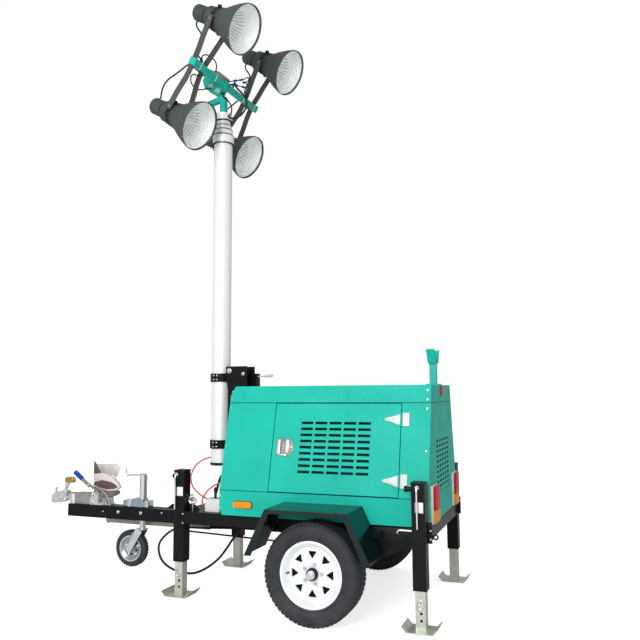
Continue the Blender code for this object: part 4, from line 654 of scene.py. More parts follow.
def effect_group(name, sizes, outputs):
    """An empty shader group with a vector and several sizes as its inputs."""
    inputs = (("Vector", "NodeSocketVector", None), *((label, FLOAT, default) for label, default in sizes))
    tree, given, result = node_group(name, "ShaderNodeTree", inputs, outputs)
    EFFECTS[name] = tree
    return tree, given, result


def ranged(tree, value, low, high):
    """A value carried from a range to 0 to 1."""
    inputs = {"Value": value, "From Min": low, "From Max": high}
    return add_node(tree, "ShaderNodeMapRange", inputs).outputs["Result"]


def noise_of(tree, vector, scale, detail=2.0):
    inputs = {"Vector": vector, "Scale": scale, "Detail": detail}
    return add_node(tree, "ShaderNodeTexNoise", inputs).outputs["Fac"]


def split_vector(tree, vector):
    return add_node(tree, "ShaderNodeSeparateXYZ", {0: vector}).outputs


def build_mottle():
    """Soft patches over fine specks, from 0 to 1."""
    tree, given, result = effect_group(
        "mottle", (("Patch Scale", 6.0), ("Speck Scale", 220.0), ("Speck Share", 0.35)), (("Amount", FLOAT),)
    )
    patches = noise_of(tree, given["Vector"], given["Patch Scale"], 4.0)
    specks = noise_of(tree, given["Vector"], given["Speck Scale"])
    mix = add_node(
        tree, "ShaderNodeMix", {"Factor": given["Speck Share"], 2: patches, 3: specks}, data_type="FLOAT"
    )
    tree.links.new(ranged(tree, mix.outputs[0], 0.32, 0.68), result["Amount"])


def build_edge_wear():
    """A rounded normal, and a mask of the edges that it rounds."""
    outputs = (("Normal", "NodeSocketVector"), ("Mask", FLOAT))
    sizes = (("Radius", 0.002), ("Speck Scale", 60.0))
    tree, given, result = effect_group("edge_wear", sizes, outputs)
    normal = add_node(tree, "ShaderNodeBevel", {"Radius": given["Radius"]}, samples=4).outputs["Normal"]
    flat = add_node(tree, "ShaderNodeNewGeometry").outputs["True Normal"]
    dot = add_node(tree, "ShaderNodeVectorMath", {0: normal, 1: flat}, operation="DOT_PRODUCT")
    edge = ranged(tree, dot.outputs["Value"], 0.995, 0.9)
    breaks = ranged(tree, noise_of(tree, given["Vector"], given["Speck Scale"]), 0.46, 0.62)
    tree.links.new(normal, result["Normal"])
    tree.links.new(maths(tree, "MULTIPLY", edge, breaks), result["Mask"])


def build_road_dust():
    """Dust that thins out with height above the ground."""
    tree, given, result = effect_group("road_dust", (("Top", 0.55), ("Scale", 14.0)), (("Mask", FLOAT),))
    height = split_vector(tree, given["Vector"])["Z"]
    low = maths(tree, "SUBTRACT", 1.0, maths(tree, "DIVIDE", height, given["Top"]), clamp=True)
    breaks = ranged(tree, noise_of(tree, given["Vector"], given["Scale"], 6.0), 0.35, 0.75)
    tree.links.new(maths(tree, "MULTIPLY", low, breaks), result["Mask"])


def build_brushed():
    """Fine lines drawn along Z, as on drawn or brushed metal."""
    tree, given, result = effect_group("brushed", (("Scale", 300.0), ("Stretch", 0.02)), (("Amount", FLOAT),))
    squash = combined(tree, X=1.0, Y=1.0, Z=given["Stretch"])
    scaled = add_node(tree, "ShaderNodeVectorMath", {0: given["Vector"], 1: squash}, operation="MULTIPLY")
    tree.links.new(noise_of(tree, scaled.outputs[0], given["Scale"], 3.0), result["Amount"])


def build_panel_seams():
    """Thin lines at the two heights where the canopy's side sheets meet."""
    sizes = (("Knee", KNEE_Z), ("Eaves", EAVES_Z), ("Width", 0.0024))
    tree, given, result = effect_group("panel_seams", sizes, (("Mask", FLOAT),))
    height = split_vector(tree, given["Vector"])["Z"]
    lines = [maths(tree, "COMPARE", height, given[label], given["Width"]) for label in ("Knee", "Eaves")]
    tree.links.new(maths(tree, "MAXIMUM", *lines), result["Mask"])


def build_facets():
    """Dimples and panel lines of a reflector, from its own UV; the lines mark where a painted reflection of
    the green frame goes.
    """
    sizes = (("Dimples Around", 88.0), ("Dimples Along", 30.0), ("Panels Around", 30.0), ("Panel Top", 0.28))
    tree, given, result = effect_group("facets", sizes, (("Height", FLOAT), ("Reflection Lines", FLOAT)))
    split = split_vector(tree, given["Vector"])

    def waves(first):
        return maths(tree, "SINE", maths(tree, "MULTIPLY", first, pi))

    def share(label, count):
        return maths(tree, "FRACT", maths(tree, "MULTIPLY", split[label], count))

    around = maths(tree, "MULTIPLY", split["X"], given["Dimples Around"])
    along = maths(tree, "MULTIPLY", split["Y"], given["Dimples Along"])
    dimples = [waves(maths(tree, operation, around, along)) for operation in ("ADD", "SUBTRACT")]
    tree.links.new(maths(tree, "MULTIPLY", *dimples), result["Height"])
    panel = maths(tree, "ABSOLUTE", maths(tree, "SUBTRACT", share("X", given["Panels Around"]), 0.5))
    ring = share("Y", 14.0)
    above = maths(tree, "GREATER_THAN", ring, 0.16)
    edge = maths(tree, "MULTIPLY", maths(tree, "LESS_THAN", panel, 0.12), above)
    seam = maths(tree, "MULTIPLY", maths(tree, "LESS_THAN", ring, 0.12), 0.45)
    inner = maths(tree, "LESS_THAN", split["Y"], given["Panel Top"])
    tree.links.new(maths(tree, "MULTIPLY", maths(tree, "MAXIMUM", edge, seam), inner), result["Reflection Lines"])


def painted(
    name, colour, shade, roughness, wear=None, dust=None, dust_top=0.55, seams=None, patch=5.0, grain=900.0,
    grain_depth=0.00012, edge=0.0016, **constants,
):
    """A coated finish: two close shades, grain, softened edges, and wear and dust where given."""
    look = Shading(name, colour, roughness, **constants)
    amount = look.effect("mottle", Patch_Scale=patch, Speck_Scale=180.0, Speck_Share=0.3).outputs["Amount"]
    tone = look.blend(amount, colour, shade)
    edges = look.effect("edge_wear", Radius=edge)
    if wear:
        tone = look.blend(edges.outputs["Mask"], tone, wear)
    if dust:
        tone = look.blend(look.effect("road_dust", Top=dust_top).outputs["Mask"], tone, dust)
    if seams:
        tone = look.blend(look.effect("panel_seams").outputs["Mask"], tone, seams)
    look.colour(tone)
    look.roughness(look.range(amount, roughness - 0.05, roughness + 0.06))
    grains = look.add("ShaderNodeTexNoise", {"Scale": grain, "Vector": look.coordinates})
    look.bump(grains.outputs["Fac"], grain_depth, 0.5, edges.outputs["Normal"])


def metal(name, colour, shade, roughness, metallic, patch, edge=0.0012, brushed=False):
    """A bare or plated metal: patchy tone and roughness, drawn lines where brushed."""
    look = Shading(name, colour, roughness, metallic)
    amount = look.effect("mottle", Patch_Scale=patch, Speck_Scale=260.0, Speck_Share=0.4).outputs["Amount"]
    look.colour(look.blend(amount, colour, shade))
    normal = look.effect("edge_wear", Radius=edge).outputs["Normal"]
    if brushed:
        lines = look.effect("brushed").outputs["Amount"]
        look.roughness(look.range(lines, roughness - 0.08, roughness + 0.1))
        look.bump(lines, 0.00006, 0.5, normal)
    else:
        look.roughness(look.range(amount, roughness - 0.08, roughness + 0.12))
        look.bump(amount, 0.0002, 0.3, normal)


METALS = (
    # name, colour, shade, roughness, metallic, patch scale
    ("galvanised", (0.74, 0.77, 0.67), (0.5, 0.53, 0.45), 0.4, 0.55, 30.0),
    ("zinc_plate", (0.86, 0.87, 0.88), (0.58, 0.61, 0.63), 0.22, 0.75, 22.0),
    ("zinc_blue", (0.5, 0.6, 0.66), (0.3, 0.38, 0.43), 0.22, 0.9, 26.0),
    ("latch_steel", (0.3, 0.3, 0.27), (0.2, 0.2, 0.18), 0.4, 0.5, 60.0),
    ("latch_shade", (0.34, 0.25, 0.21), (0.24, 0.19, 0.16), 0.45, 0.3, 60.0),
    ("brake_steel", (0.4, 0.4, 0.36), (0.3, 0.3, 0.27), 0.45, 0.5, 30.0),
    ("chrome", (0.82, 0.82, 0.82), (0.72, 0.72, 0.72), 0.1, 1.0, 40.0),
    ("brass", (0.7, 0.46, 0.12), (0.52, 0.33, 0.09), 0.3, 1.0, 50.0),
    ("chock_sheet", (0.9, 0.84, 0.81), (0.74, 0.67, 0.63), 0.42, 0.35, 24.0),
    # chock_shade: a dark brown for the painted shade inside the chock's fold.
    ("chock_shade", (0.16, 0.1, 0.085), (0.1, 0.065, 0.055), 0.5, 0.2, 24.0),
)


def build_finishes(colours):
    effects = (
        build_mottle, build_edge_wear, build_road_dust, build_brushed, build_panel_seams, build_facets,
    )
    for build_effect in effects:
        build_effect()
    green = tuple(colours.canopy)
    deep_green = tuple(value * 0.86 for value in green)
    black = tuple(colours.chassis)
    grey = tuple(colours.lamps)
    hose = tuple(colours.hose)
    painted("canopy_paint", green, deep_green, 0.46, seams=(0.004, 0.09, 0.07), specular_ior_level=0.12)
    painted("head_paint", green, deep_green, 0.38, wear=(0.1, 0.45, 0.38), specular_ior_level=0.22)
    painted(
        "chassis_paint", black, tuple(value * 1.6 for value in black), 0.34, wear=(0.06, 0.06, 0.06),
        specular_ior_level=0.12,
    )
    painted(
        "fender_paint", (0.002, 0.008, 0.008), (0.003, 0.016, 0.015), 0.16, wear=(0.1, 0.12, 0.12),
        specular_ior_level=0.3,
    )
    painted("engine_dark", (0.006, 0.007, 0.008), (0.016, 0.018, 0.018), 0.6, specular_ior_level=0.1)
    painted(
        "lamp_paint", grey, tuple(value * 1.3 for value in grey), 0.6, wear=(0.16, 0.18, 0.17), grain=500.0,
        grain_depth=0.0003, specular_ior_level=0.25,
    )
    painted(
        "arm_grey", (0.07, 0.074, 0.064), (0.095, 0.1, 0.088), 0.5, wear=(0.16, 0.16, 0.14),
        specular_ior_level=0.3,
    )
    painted("box_grey", (0.36, 0.4, 0.36), (0.3, 0.34, 0.3), 0.5, specular_ior_level=0.2)
    painted(
        "wheel_paint", (0.88, 0.9, 0.92), (0.82, 0.84, 0.87), 0.3, dust=(0.66, 0.65, 0.63), dust_top=0.35,
        coat_weight=0.35, coat_roughness=0.12,
    )
    painted("label_white", (0.84, 0.84, 0.83), (0.76, 0.76, 0.75), 0.45)
    painted("white_plastic", (0.78, 0.78, 0.76), (0.68, 0.68, 0.66), 0.45)
    painted("hinge_paint", (0.74, 0.75, 0.73), (0.6, 0.62, 0.6), 0.38, wear=(0.45, 0.45, 0.42))
    painted("foam_green", (0.004, 0.055, 0.044), (0.006, 0.08, 0.064), 0.8, specular_ior_level=0.05)
    painted("blue_grip", (0.01, 0.045, 0.4), (0.014, 0.065, 0.5), 0.5, specular_ior_level=0.15)
    painted("blue_tape", (0.03, 0.05, 0.4), (0.05, 0.08, 0.55), 0.4)
    painted(
        "hose_red", hose, tuple(value * 0.8 for value in hose), 0.35, grain=400.0, coat_weight=0.2,
        coat_roughness=0.2,
    )
    painted(
        "cable_black", (0.008, 0.008, 0.009), (0.016, 0.016, 0.017), 0.5, grain=500.0, edge=0.0004,
        specular_ior_level=0.25,
    )
    painted(
        "rubber_black", (0.012, 0.012, 0.013), (0.024, 0.024, 0.025), 0.65, grain=700.0, edge=0.0006,
        specular_ior_level=0.25,
    )
    painted("tie_white", (0.8, 0.82, 0.8), (0.7, 0.74, 0.71), 0.4, edge=0.0004)
    painted(
        "tyre_rubber", (0.02, 0.022, 0.027), (0.034, 0.037, 0.043), 0.6, dust=(0.06, 0.06, 0.06),
        dust_top=0.35, patch=12.0, grain=600.0, grain_depth=0.0004, edge=0.0015, specular_ior_level=0.3,
    )
    for row in METALS:
        metal(*row)
    metal("bolt_silver", (0.78, 0.79, 0.8), (0.62, 0.63, 0.64), 0.26, 0.9, 60.0, 0.0006)
    metal("mast_silver", (0.95, 0.94, 0.93), (0.9, 0.89, 0.88), 0.38, 0.22, 3.0, brushed=True)
    build_reflector()
    build_glass()
    build_lens("lens_red", (0.62, 0.012, 0.02), (0.42, 0.006, 0.012))
    build_lens("lens_amber", (0.92, 0.34, 0.015), (0.72, 0.2, 0.008))


def build_reflector():
    """Hammered bright aluminium, with a painted reflection of the green frame along its panel lines."""
    look = Shading("reflector", (0.95, 0.96, 0.95), 0.3, 0.06)
    facets = look.effect("facets")
    look.join(look.add("ShaderNodeTexCoord").outputs["UV"], facets.inputs["Vector"])
    look.bump(facets.outputs["Height"], 0.0022, 0.55)
    amount = look.effect("mottle", Patch_Scale=14.0).outputs["Amount"]
    bright = look.blend(amount, (0.96, 0.97, 0.96), (0.88, 0.92, 0.9))
    # Painted reflection: the panel lines take a dark green that stands for the green frame mirrored in the
    # reflector.
    look.colour(look.blend(facets.outputs["Reflection Lines"], bright, (0.2, 0.38, 0.31)))


def build_glass():
    """Clear glass with a faint unevenness, which lets light through to what is behind it."""
    look = Shading("lamp_glass", (1.0, 1.0, 1.0), 0.02, transmission_weight=1.0, ior=1.3)
    amount = look.effect("mottle", Patch_Scale=7.0).outputs["Amount"]
    look.colour(look.blend(amount, (1.0, 1.0, 1.0), (0.96, 0.985, 0.975)))
    look.bump(amount, 0.0003, 0.3)
    mix = look.add("ShaderNodeMixShader", {
        "Fac": look.add("ShaderNodeLightPath").outputs["Is Shadow Ray"], 1: look.shader.outputs["BSDF"],
        2: look.add("ShaderNodeBsdfTransparent").outputs["BSDF"],
    })
    look.join(mix.outputs["Shader"], look.tree.nodes["Material Output"].inputs["Surface"])


def build_lens(name, colour, shade):
    """A coloured lens with moulded prisms."""
    look = Shading(name, colour, 0.34, specular_ior_level=0.12)
    inputs = {"Scale": 95.0, "Randomness": 0.0, "Vector": look.coordinates}
    cells = look.add("ShaderNodeTexVoronoi", inputs, distance="CHEBYCHEV").outputs["Distance"]
    look.colour(look.blend(cells, colour, shade))
    look.bump(cells, 0.0015, 0.5)


NODE_FINISHES = {
    "canopy_paint": ("canopy_left", "canopy_right", "canopy_front", "canopy_rear", "canopy_roof", "door_left",
                     "door_right"),
    "head_paint": ("mast_cradle",),
    "chassis_paint": ("chassis_frame", "axle_beam", "drawbar", "mast_support", "mast_bracket",
                      *(f"leg_outer_{name}" for name in LEGS)),
    "fender_paint": ("fender_left", "fender_right"),
    "engine_dark": ("genset_block",),
    "galvanised": tuple(f"leg_inner_{name}" for name in LEGS),
    "zinc_plate": ("coupling", "jockey_post"),
    "zinc_blue": ("jockey_clamp",),
    "chock_sheet": ("wheel_chock",),
    "mast_silver": ("mast_1", "mast_2", "mast_3", "mast_4"),
    "white_plastic": ("compressor",),
}


def dress_nodes():
    """Gives every carried-over node its finish through its own material slots."""
    for finish, names in NODE_FINISHES.items():
        for name in names:
            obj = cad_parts[name]
            for slot in obj.material_slots:
                slot.material = FINISHES[finish]


# Cords

HOSE_RADIUS = 0.006
CABLE_RADIUS = 0.0095
LEAD_RADIUS = 0.006
BRAKE_LEAD_RADIUS = 0.0085

TRAILER_CORDS = (
    # piece, finish, radius, points from the axle
    ("air_hose", "hose_red", HOSE_RADIUS, (
        (-0.8603, 0.03, 0.895), (-0.885, 0.03, 0.895), (-0.912, 0.055, 0.902), (-0.95, 0.092, 0.908),
        (-0.997, 0.113, 0.908), (-1.054, 0.125, 0.9), (-1.124, 0.125, 0.883), (-1.168, 0.124, 0.868),
        (-1.235, 0.12, 0.845), (-1.299, 0.11, 0.795), (-1.323, 0.09, 0.715), (-1.284, 0.06, 0.645),
        (-1.213, 0.03, 0.602), (-1.138, -0.01, 0.582), (-1.05, -0.06, 0.574), (-0.963, -0.1, 0.573),
        (-0.88, -0.132, 0.58), (-0.82, -0.148, 0.592), (-0.785, -0.15, 0.596), (-0.7503, -0.15, 0.596),
    )),
    ("supply_hose", "hose_red", HOSE_RADIUS, (
        (-0.7503, -0.245, 0.745), (-0.785, -0.245, 0.745), (-0.827, -0.252, 0.743), (-0.87, -0.26, 0.733),
        (-0.924, -0.272, 0.708), (-0.962, -0.292, 0.672), (-0.976, -0.315, 0.635), (-0.97, -0.338, 0.606),
        (-0.948, -0.354, 0.591), (-0.925, -0.36, 0.588), (-0.9053, -0.36, 0.588),
    )),
    ("mast_cable", "cable_black", CABLE_RADIUS, (
        (-0.8603, -0.03, 0.79), (-0.89, -0.03, 0.79), (-0.925, -0.036, 0.79), (-0.958, -0.046, 0.776),
        (-0.98, -0.06, 0.745), (-0.983, -0.084, 0.705), (-0.966, -0.135, 0.668), (-0.938, -0.2, 0.655),
        (-0.91, -0.262, 0.668), (-0.884, -0.312, 0.694), (-0.862, -0.345, 0.706), (-0.851, -0.363, 0.69),
        (-0.85, -0.365, 0.665), (-0.85, -0.365, 0.6436),
    )),
    ("brake_lead", "cable_black", BRAKE_LEAD_RADIUS, (
        (-1.3, -0.03, 0.3883), (-1.3, -0.03, 0.374), (-1.325, -0.033, 0.357), (-1.39, -0.042, 0.338),
        (-1.45, -0.05, 0.297), (-1.492, -0.06, 0.245), (-1.496, -0.07, 0.19), (-1.46, -0.086, 0.128),
        (-1.396, -0.1, 0.087), (-1.312, -0.11, 0.063), (-1.198, -0.12, 0.056), (-1.12, -0.126, 0.074),
        (-1.035, -0.132, 0.117), (-0.946, -0.14, 0.184), (-0.88, -0.147, 0.258), (-0.835, -0.15, 0.32),
        (-0.79, -0.15, 0.375), (-0.75, -0.15, 0.416), (-0.716, -0.15, 0.443), (-0.7025, -0.15, 0.455),
        (-0.7, -0.15, 0.467), (-0.7, -0.15, 0.4836),
    )),
)

LAMP_CORDS = (
    # piece, lamp body, points in the lamp bar's frame
    ("lamp_lead_upper_left", "lamp_upper_left", (
        (-0.17, -0.3665, 0.3603), (-0.17, -0.3665, 0.345), (-0.153, -0.367, 0.322), (-0.115, -0.368, 0.303),
        (-0.08, -0.369, 0.282), (-0.06, -0.369, 0.245), (-0.055, -0.366, 0.205), (-0.052, -0.36, 0.165),
        (-0.04, -0.352, 0.134), (-0.018, -0.343, 0.121), (0.002, -0.337, 0.115), (0.01, -0.335, 0.104),
        (0.01, -0.335, 0.0893),
    )),
    ("lamp_lead_upper_right", "lamp_upper_right", (
        (-0.17, 0.3665, 0.3603), (-0.17, 0.3665, 0.345), (-0.153, 0.366, 0.322), (-0.115, 0.364, 0.303),
        (-0.08, 0.361, 0.282), (-0.06, 0.357, 0.245), (-0.055, 0.352, 0.205), (-0.052, 0.346, 0.165),
        (-0.04, 0.338, 0.134), (-0.018, 0.33, 0.121), (0.002, 0.325, 0.115), (0.01, 0.323, 0.104),
        (0.01, 0.323, 0.0893),
    )),
    ("lamp_lead_lower_left", "lamp_lower_left", (
        (-0.185, -0.3665, -0.2757), (-0.185, -0.3665, -0.258), (-0.2, -0.367, -0.22),
        (-0.205, -0.367, -0.165), (-0.19, -0.366, -0.115), (-0.16, -0.366, -0.075), (-0.13, -0.365, -0.035),
        (-0.105, -0.362, 0.008), (-0.083, -0.358, 0.04), (-0.06, -0.356, 0.057), (-0.042, -0.355, 0.06),
        (-0.0222, -0.355, 0.06),
    )),
    ("lamp_lead_lower_right", "lamp_lower_right", (
        (-0.185, 0.3665, -0.2757), (-0.185, 0.3665, -0.258), (-0.196, 0.36, -0.225),
        (-0.192, 0.345, -0.175), (-0.165, 0.33, -0.12), (-0.125, 0.318, -0.07), (-0.085, 0.308, -0.025),
        (-0.052, 0.302, 0.018), (-0.034, 0.3, 0.046), (-0.02, 0.3, 0.058), (-0.0098, 0.3, 0.06),
    )),
)


def lay_cord(name, radius, route, finish="cable_black", sides=12):
    """A round cord along a route, with both ends on the tower; it still has to be given its bodies."""
    obj = link(name, mesh_of(name, [wire(route, radius, sides)]), finish)
    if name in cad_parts:
        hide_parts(name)
    return obj


def build_cords():
    for name, finish, radius, points in TRAILER_CORDS:
        route = smoothed([at(*point) for point in points], radius * 3)
        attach(lay_cord(name, radius, route, finish), "trailer")
    for name, lamp, points in LAMP_CORDS:
        route = smoothed([HEAD @ Vector(point) for point in points], LEAD_RADIUS * 3)
        cord = lay_cord(name, LEAD_RADIUS, route)
        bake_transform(cord)


# Road wheels

TYRE_HALF = (
    # radius, half width: the sidewall from the bead out to the shoulder
    (0.1965, 0.069), (0.2, 0.0748), (0.206, 0.0772), (0.2085, 0.0764), (0.211, 0.0792), (0.221, 0.0832),
    (0.232, 0.086), (0.2336, 0.085), (0.2356, 0.085), (0.2372, 0.0868), (0.25, 0.0875), (0.262, 0.0868),
    (0.27, 0.085), (0.2716, 0.0838), (0.274, 0.0838), (0.2756, 0.0842), (0.282, 0.0806), (0.2875, 0.0756),
    (0.292, 0.069), (0.294, 0.06), (0.2955, 0.047), (0.296, 0.02),
)


TREAD_ROWS = (
    # height along the axle, ring radius, length, width, slant, lean, phase
    (0.0, 0.2905, 0.025, 0.018, 0.45, 0.0, 0.0),
    (0.0265, 0.2905, 0.0258, 0.024, 0.3, 0.0, 0.5),
    (-0.0265, 0.2905, 0.0258, 0.024, -0.3, 0.0, 0.5),
    (0.057, 0.288, 0.0225, 0.028, 0.12, 0.13, 0.0),
    (-0.057, 0.288, 0.0225, 0.028, -0.12, -0.13, 0.0),
)


def build_tyre(label, side):
    bore = [(0.178, 0.0625), (0.172, 0.045)]
    near_bore = [(radius, -height) for radius, height in bore]
    profile = mirrored(TYRE_HALF) + near_bore + [(0.162, 0.0)] + bore[::-1]
    matrix = wheel_matrix(side)
    shapes = [turned(profile, matrix, 120, closed=True)]
    for height, reach, length, width, slant, lean, phase in TREAD_ROWS:
        shapes.append(ring_blocks(
            matrix, count=62, ring_radius=reach, ring_height=height, block_depth=0.014, block_length=length,
            block_width=width, slant=slant, lean=lean, phase=phase,
        ))
    piece(f"road_tyre_{label}", shapes, "tyre_rubber", f"wheel_{label}", (f"tyre_{label}",))


RIM_FACE = (
    (0.0, 0.03), (0.03, 0.03), (0.036, 0.0375), (0.05, 0.04), (0.078, 0.0425), (0.1, 0.044), (0.13, 0.0415),
    (0.147, 0.0385), (0.1515, 0.0395), (0.157, 0.0465), (0.163, 0.052), (0.172, 0.062), (0.1795, 0.0725),
    (0.184, 0.075), (0.1915, 0.0752), (0.1945, 0.0735), (0.1945, 0.07), (0.19, 0.068), (0.178, 0.06),
    (0.171, 0.045), (0.1605, 0.0), (0.171, -0.045), (0.178, -0.06), (0.19, -0.068), (0.1945, -0.07),
    (0.1945, -0.074), (0.184, -0.0748), (0.164, -0.048), (0.152, 0.0), (0.15, 0.026), (0.105, 0.034),
    (0.045, 0.028), (0.045, -0.03), (0.0, -0.03),
)


def build_rim(label, side):
    """The slotted rim with its drum, hub sleeve, cap, nuts and valve."""
    body = f"wheel_{label}"
    matrix = wheel_matrix(side)
    name = f"road_rim_{label}"
    obj = link(name, mesh_of(name, [lathe(RIM_FACE, 96)]), "wheel_paint")
    windows = []
    for index in range(8):
        turn = 2 * pi * index / 8
        corners = ((0.086, 0.0), (0.128, -0.205), (0.1335, -0.18), (0.1335, 0.18), (0.128, 0.205))
        outline = [(radius * sin(turn + angle), radius * cos(turn + angle)) for radius, angle in corners]
        windows.append(slab(outline[::-1], -0.06, 0.06, 0.0028, 2))
    cutter = link(f"{name}_windows", mesh_of("windows", windows))
    modifier = obj.modifiers.new("Windows", "BOOLEAN")
    modifier.operation = "DIFFERENCE"
    modifier.solver = "EXACT"
    modifier.object = cutter
    mesh = final_mesh(obj)
    obj.modifiers.clear()
    bpy.data.objects.remove(cutter)
    mesh.transform(matrix)
    mesh.shade_smooth()
    mesh.set_sharp_from_angle(angle=radians(32))
    mesh.materials.clear()
    mesh.materials.append(FINISHES["wheel_paint"])
    obj.data = mesh
    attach(obj, body)
    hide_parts(f"wheel_rim_{label}")
    drum = [(0.048, 0.008), (0.138, 0.008), (0.142, 0.004), (0.142, -0.048), (0.048, -0.048)]
    piece(f"brake_drum_{label}", [turned(drum, matrix, 64, closed=True)], "engine_dark", body)
    sleeve = [(0.0, 0.036), (0.035, 0.036), (0.035, 0.06), (0.0325, 0.0625), (0.0, 0.0625)]
    piece(f"hub_sleeve_{label}", [turned(sleeve, matrix, 40)], "rubber_black", body)
    cap = [(0.0, 0.06), (0.0235, 0.06), (0.024, 0.08), (0.0225, 0.085), (0.017, 0.0868), (0.0, 0.0872)]
    band = [(0.0235, 0.066), (0.0262, 0.0665), (0.0262, 0.0695), (0.0235, 0.07)]
    cap_shapes = [turned(cap, matrix, 40), turned(band, matrix, 40, closed=True)]
    piece(f"hub_cap_{label}", cap_shapes, "zinc_plate", body)
    turns = [2 * pi * index / 5 + 0.25 for index in range(5)]
    places = [matrix @ Vector((0.058 * sin(turn), 0.058 * cos(turn), 0.0398)) for turn in turns]
    spots = [(place, outwards(matrix)) for place in places]
    fasteners(f"wheel_nuts_{label}", "wheel_nut", spots, body=body)
    valve = matrix @ Matrix.Translation((side * 0.15, -0.004, 0.036)) @ Matrix.Rotation(0.35 * side, 4, "Y")
    stem = [(0.0, 0.0), (0.0052, 0.0), (0.0048, 0.012), (0.0036, 0.016), (0.0036, 0.026), (0.0, 0.027)]
    piece(f"tyre_valve_{label}", [turned(stem, valve, 16)], "rubber_black", body)


# Canopy

CANOPY_BOLTS = (
    # distance from the axle, heights
    (0.628, (1.37, 1.313, 1.255, 1.0)),
    (-0.738, (1.369, 1.318, 1.259, 1.002, 0.75, 0.687, 0.608)),
)
HINGE_HEIGHTS = (0.82, 1.188)
HINGE_STRAP = (
    # from the hinge line to the tip and back
    (0.0, -0.033), (0.0, 0.033), (-0.012, 0.033), (-0.045, 0.02), (-0.086, 0.01), (-0.0985, 0.0045),
    (-0.1, 0.0), (-0.0985, -0.0045), (-0.086, -0.01), (-0.045, -0.02), (-0.012, -0.033),
)
HINGE_SCREWS = {
    "leaf": ((0.006, 0.028), (0.006, 0.0), (0.006, -0.028)),
    "strap": ((-0.014, 0.022), (-0.014, -0.022), (-0.045, 0.0), (-0.082, 0.0)),
}
PLATE_FOOT = 0.0042
PLATE_TOP = 0.0062
LATCH_TRAY = (
    (-0.062, -0.056), (0.028, -0.06), (0.04, -0.054), (0.064, -0.006), (0.064, 0.006), (0.04, 0.054),
    (0.028, 0.06), (-0.062, 0.056),
)
LATCH_POINT = ((0.034, -0.044), (0.057, -0.004), (0.057, 0.004), (0.034, 0.044))
LATCH_BARS = (
    # low and high x, low and high y, top
    (-0.056, -0.034, -0.044, 0.05, 0.0085), (0.002, 0.026, -0.034, 0.048, 0.009),
    (-0.046, 0.014, -0.055, -0.044, 0.0095),
)


def build_canopy_trim(sizes):
    """The bolts along the canopy's edges, and the fittings of its sides and its rear."""
    for label, side in SIDES:
        places = [side_matrix(side, x, height) for x, heights in CANOPY_BOLTS for height in heights]
        spots = [(matrix.translation, outwards(matrix)) for matrix in places]
        fasteners(f"canopy_bolts_{label}", "panel_bolt", spots, head_radius=sizes.bolt_radius)
        build_hinges(label, side)
        build_latch(label, side)
        build_side_marker(label, side)
    build_foam()
    marker = slab(rounded_outline(0.043, 0.03, 0.004), 0, 0.008, 0.002)
    matrix = facing_matrix(at(CANOPY_REAR + 0.0003, 0, 1.366), (1, 0, 0))
    piece("roof_marker", [placed(marker, matrix)], "lens_red")


def build_hinges(label, side):
    """White leaves and straps over the hinges, with screws."""
    mirror = -side
    for number, height in enumerate(HINGE_HEIGHTS):
        leaf = slab(rounded_outline(0.0222, 0.0425, 0.004), PLATE_FOOT, PLATE_TOP, 0.0007)
        outline = [(x * mirror, y) for x, y in HINGE_STRAP][::mirror]
        plate = slab(outline, PLATE_FOOT, PLATE_TOP, 0.0006)
        parts = (("leaf", leaf, 0.4965, "trailer"), ("strap", plate, 0.4605, f"door_{label}"))
        for part, shape, x, body in parts:
            matrix = side_matrix(side, x, height)
            piece(f"hinge_{part}_{label}_{number}", [placed(shape, matrix)], "hinge_paint", body)
            places = [matrix @ Vector((u * mirror, v, PLATE_TOP)) for u, v in HINGE_SCREWS[part]]
            spots = [(place, outwards(matrix)) for place in places]
            fasteners(f"hinge_{part}_screws_{label}_{number}", "rivet", spots, body=body)


def build_latch(label, side):
    """A recessed paddle latch with a pointed end and a key boss."""
    matrix = side_matrix(side, -0.305, 1.0045) @ Matrix.Scale(-side, 4, Vector((1, 0, 0)))

    def strip(low_x, high_x, low_y, high_y, top):
        corners = [(low_x, low_y), (high_x, low_y), (high_x, high_y), (low_x, high_y)]
        return slab(corners, 0.004, top, 0.0012, 3)

    knob = [(0.0, 0.006), (0.0065, 0.006), (0.0065, 0.0115), (0.0, 0.013)]
    groups = (
        ("tray", "latch_steel", [
            slab(LATCH_TRAY, 0.0002, 0.0042, 0.0012), strip(-0.03, -0.004, -0.04, 0.042, 0.007),
        ]),
        ("point", "latch_shade", [slab(LATCH_POINT, 0.004, 0.0062, 0.0008)]),
        ("paddle", "zinc_plate", [
            *(strip(*bar) for bar in LATCH_BARS), turned(knob, Matrix.Translation((0.047, 0, 0))),
        ]),
    )
    for part, finish, shapes in groups:
        shapes = [mended(placed(shape, matrix)) for shape in shapes]
        piece(f"latch_{part}_{label}", shapes, finish, f"door_{label}")


def build_foam():
    """Dark sound foam a little inside the slotted panels."""
    for label, side in SIDES:
        foam = slab(rounded_outline(0.285, 0.215, 0.01), -0.062, -0.044, 0.002)
        shape = placed(foam, side_matrix(side, 0.045, 1.0))
        piece(f"door_foam_{label}", [shape], "foam_green", f"door_{label}")
    piece("grille_foam", [box_from((0.63, -0.232, 0.735), (0.6462, 0.232, 1.078), 0.001)], "engine_dark")


def build_side_marker(label, side):
    """An amber marker lamp low on the side."""
    matrix = side_matrix(side, -0.575, 0.633)
    base = slab(rounded_outline(0.07, 0.0235, 0.018), 0.0003, 0.004, 0.001)
    piece(f"side_marker_base_{label}", [placed(base, matrix)], "rubber_black")
    lens = slab(rounded_outline(0.0675, 0.021, 0.017), 0.004, 0.014, 0.0035, 4)
    piece(f"side_marker_{label}", [placed(lens, matrix)], "lens_amber")


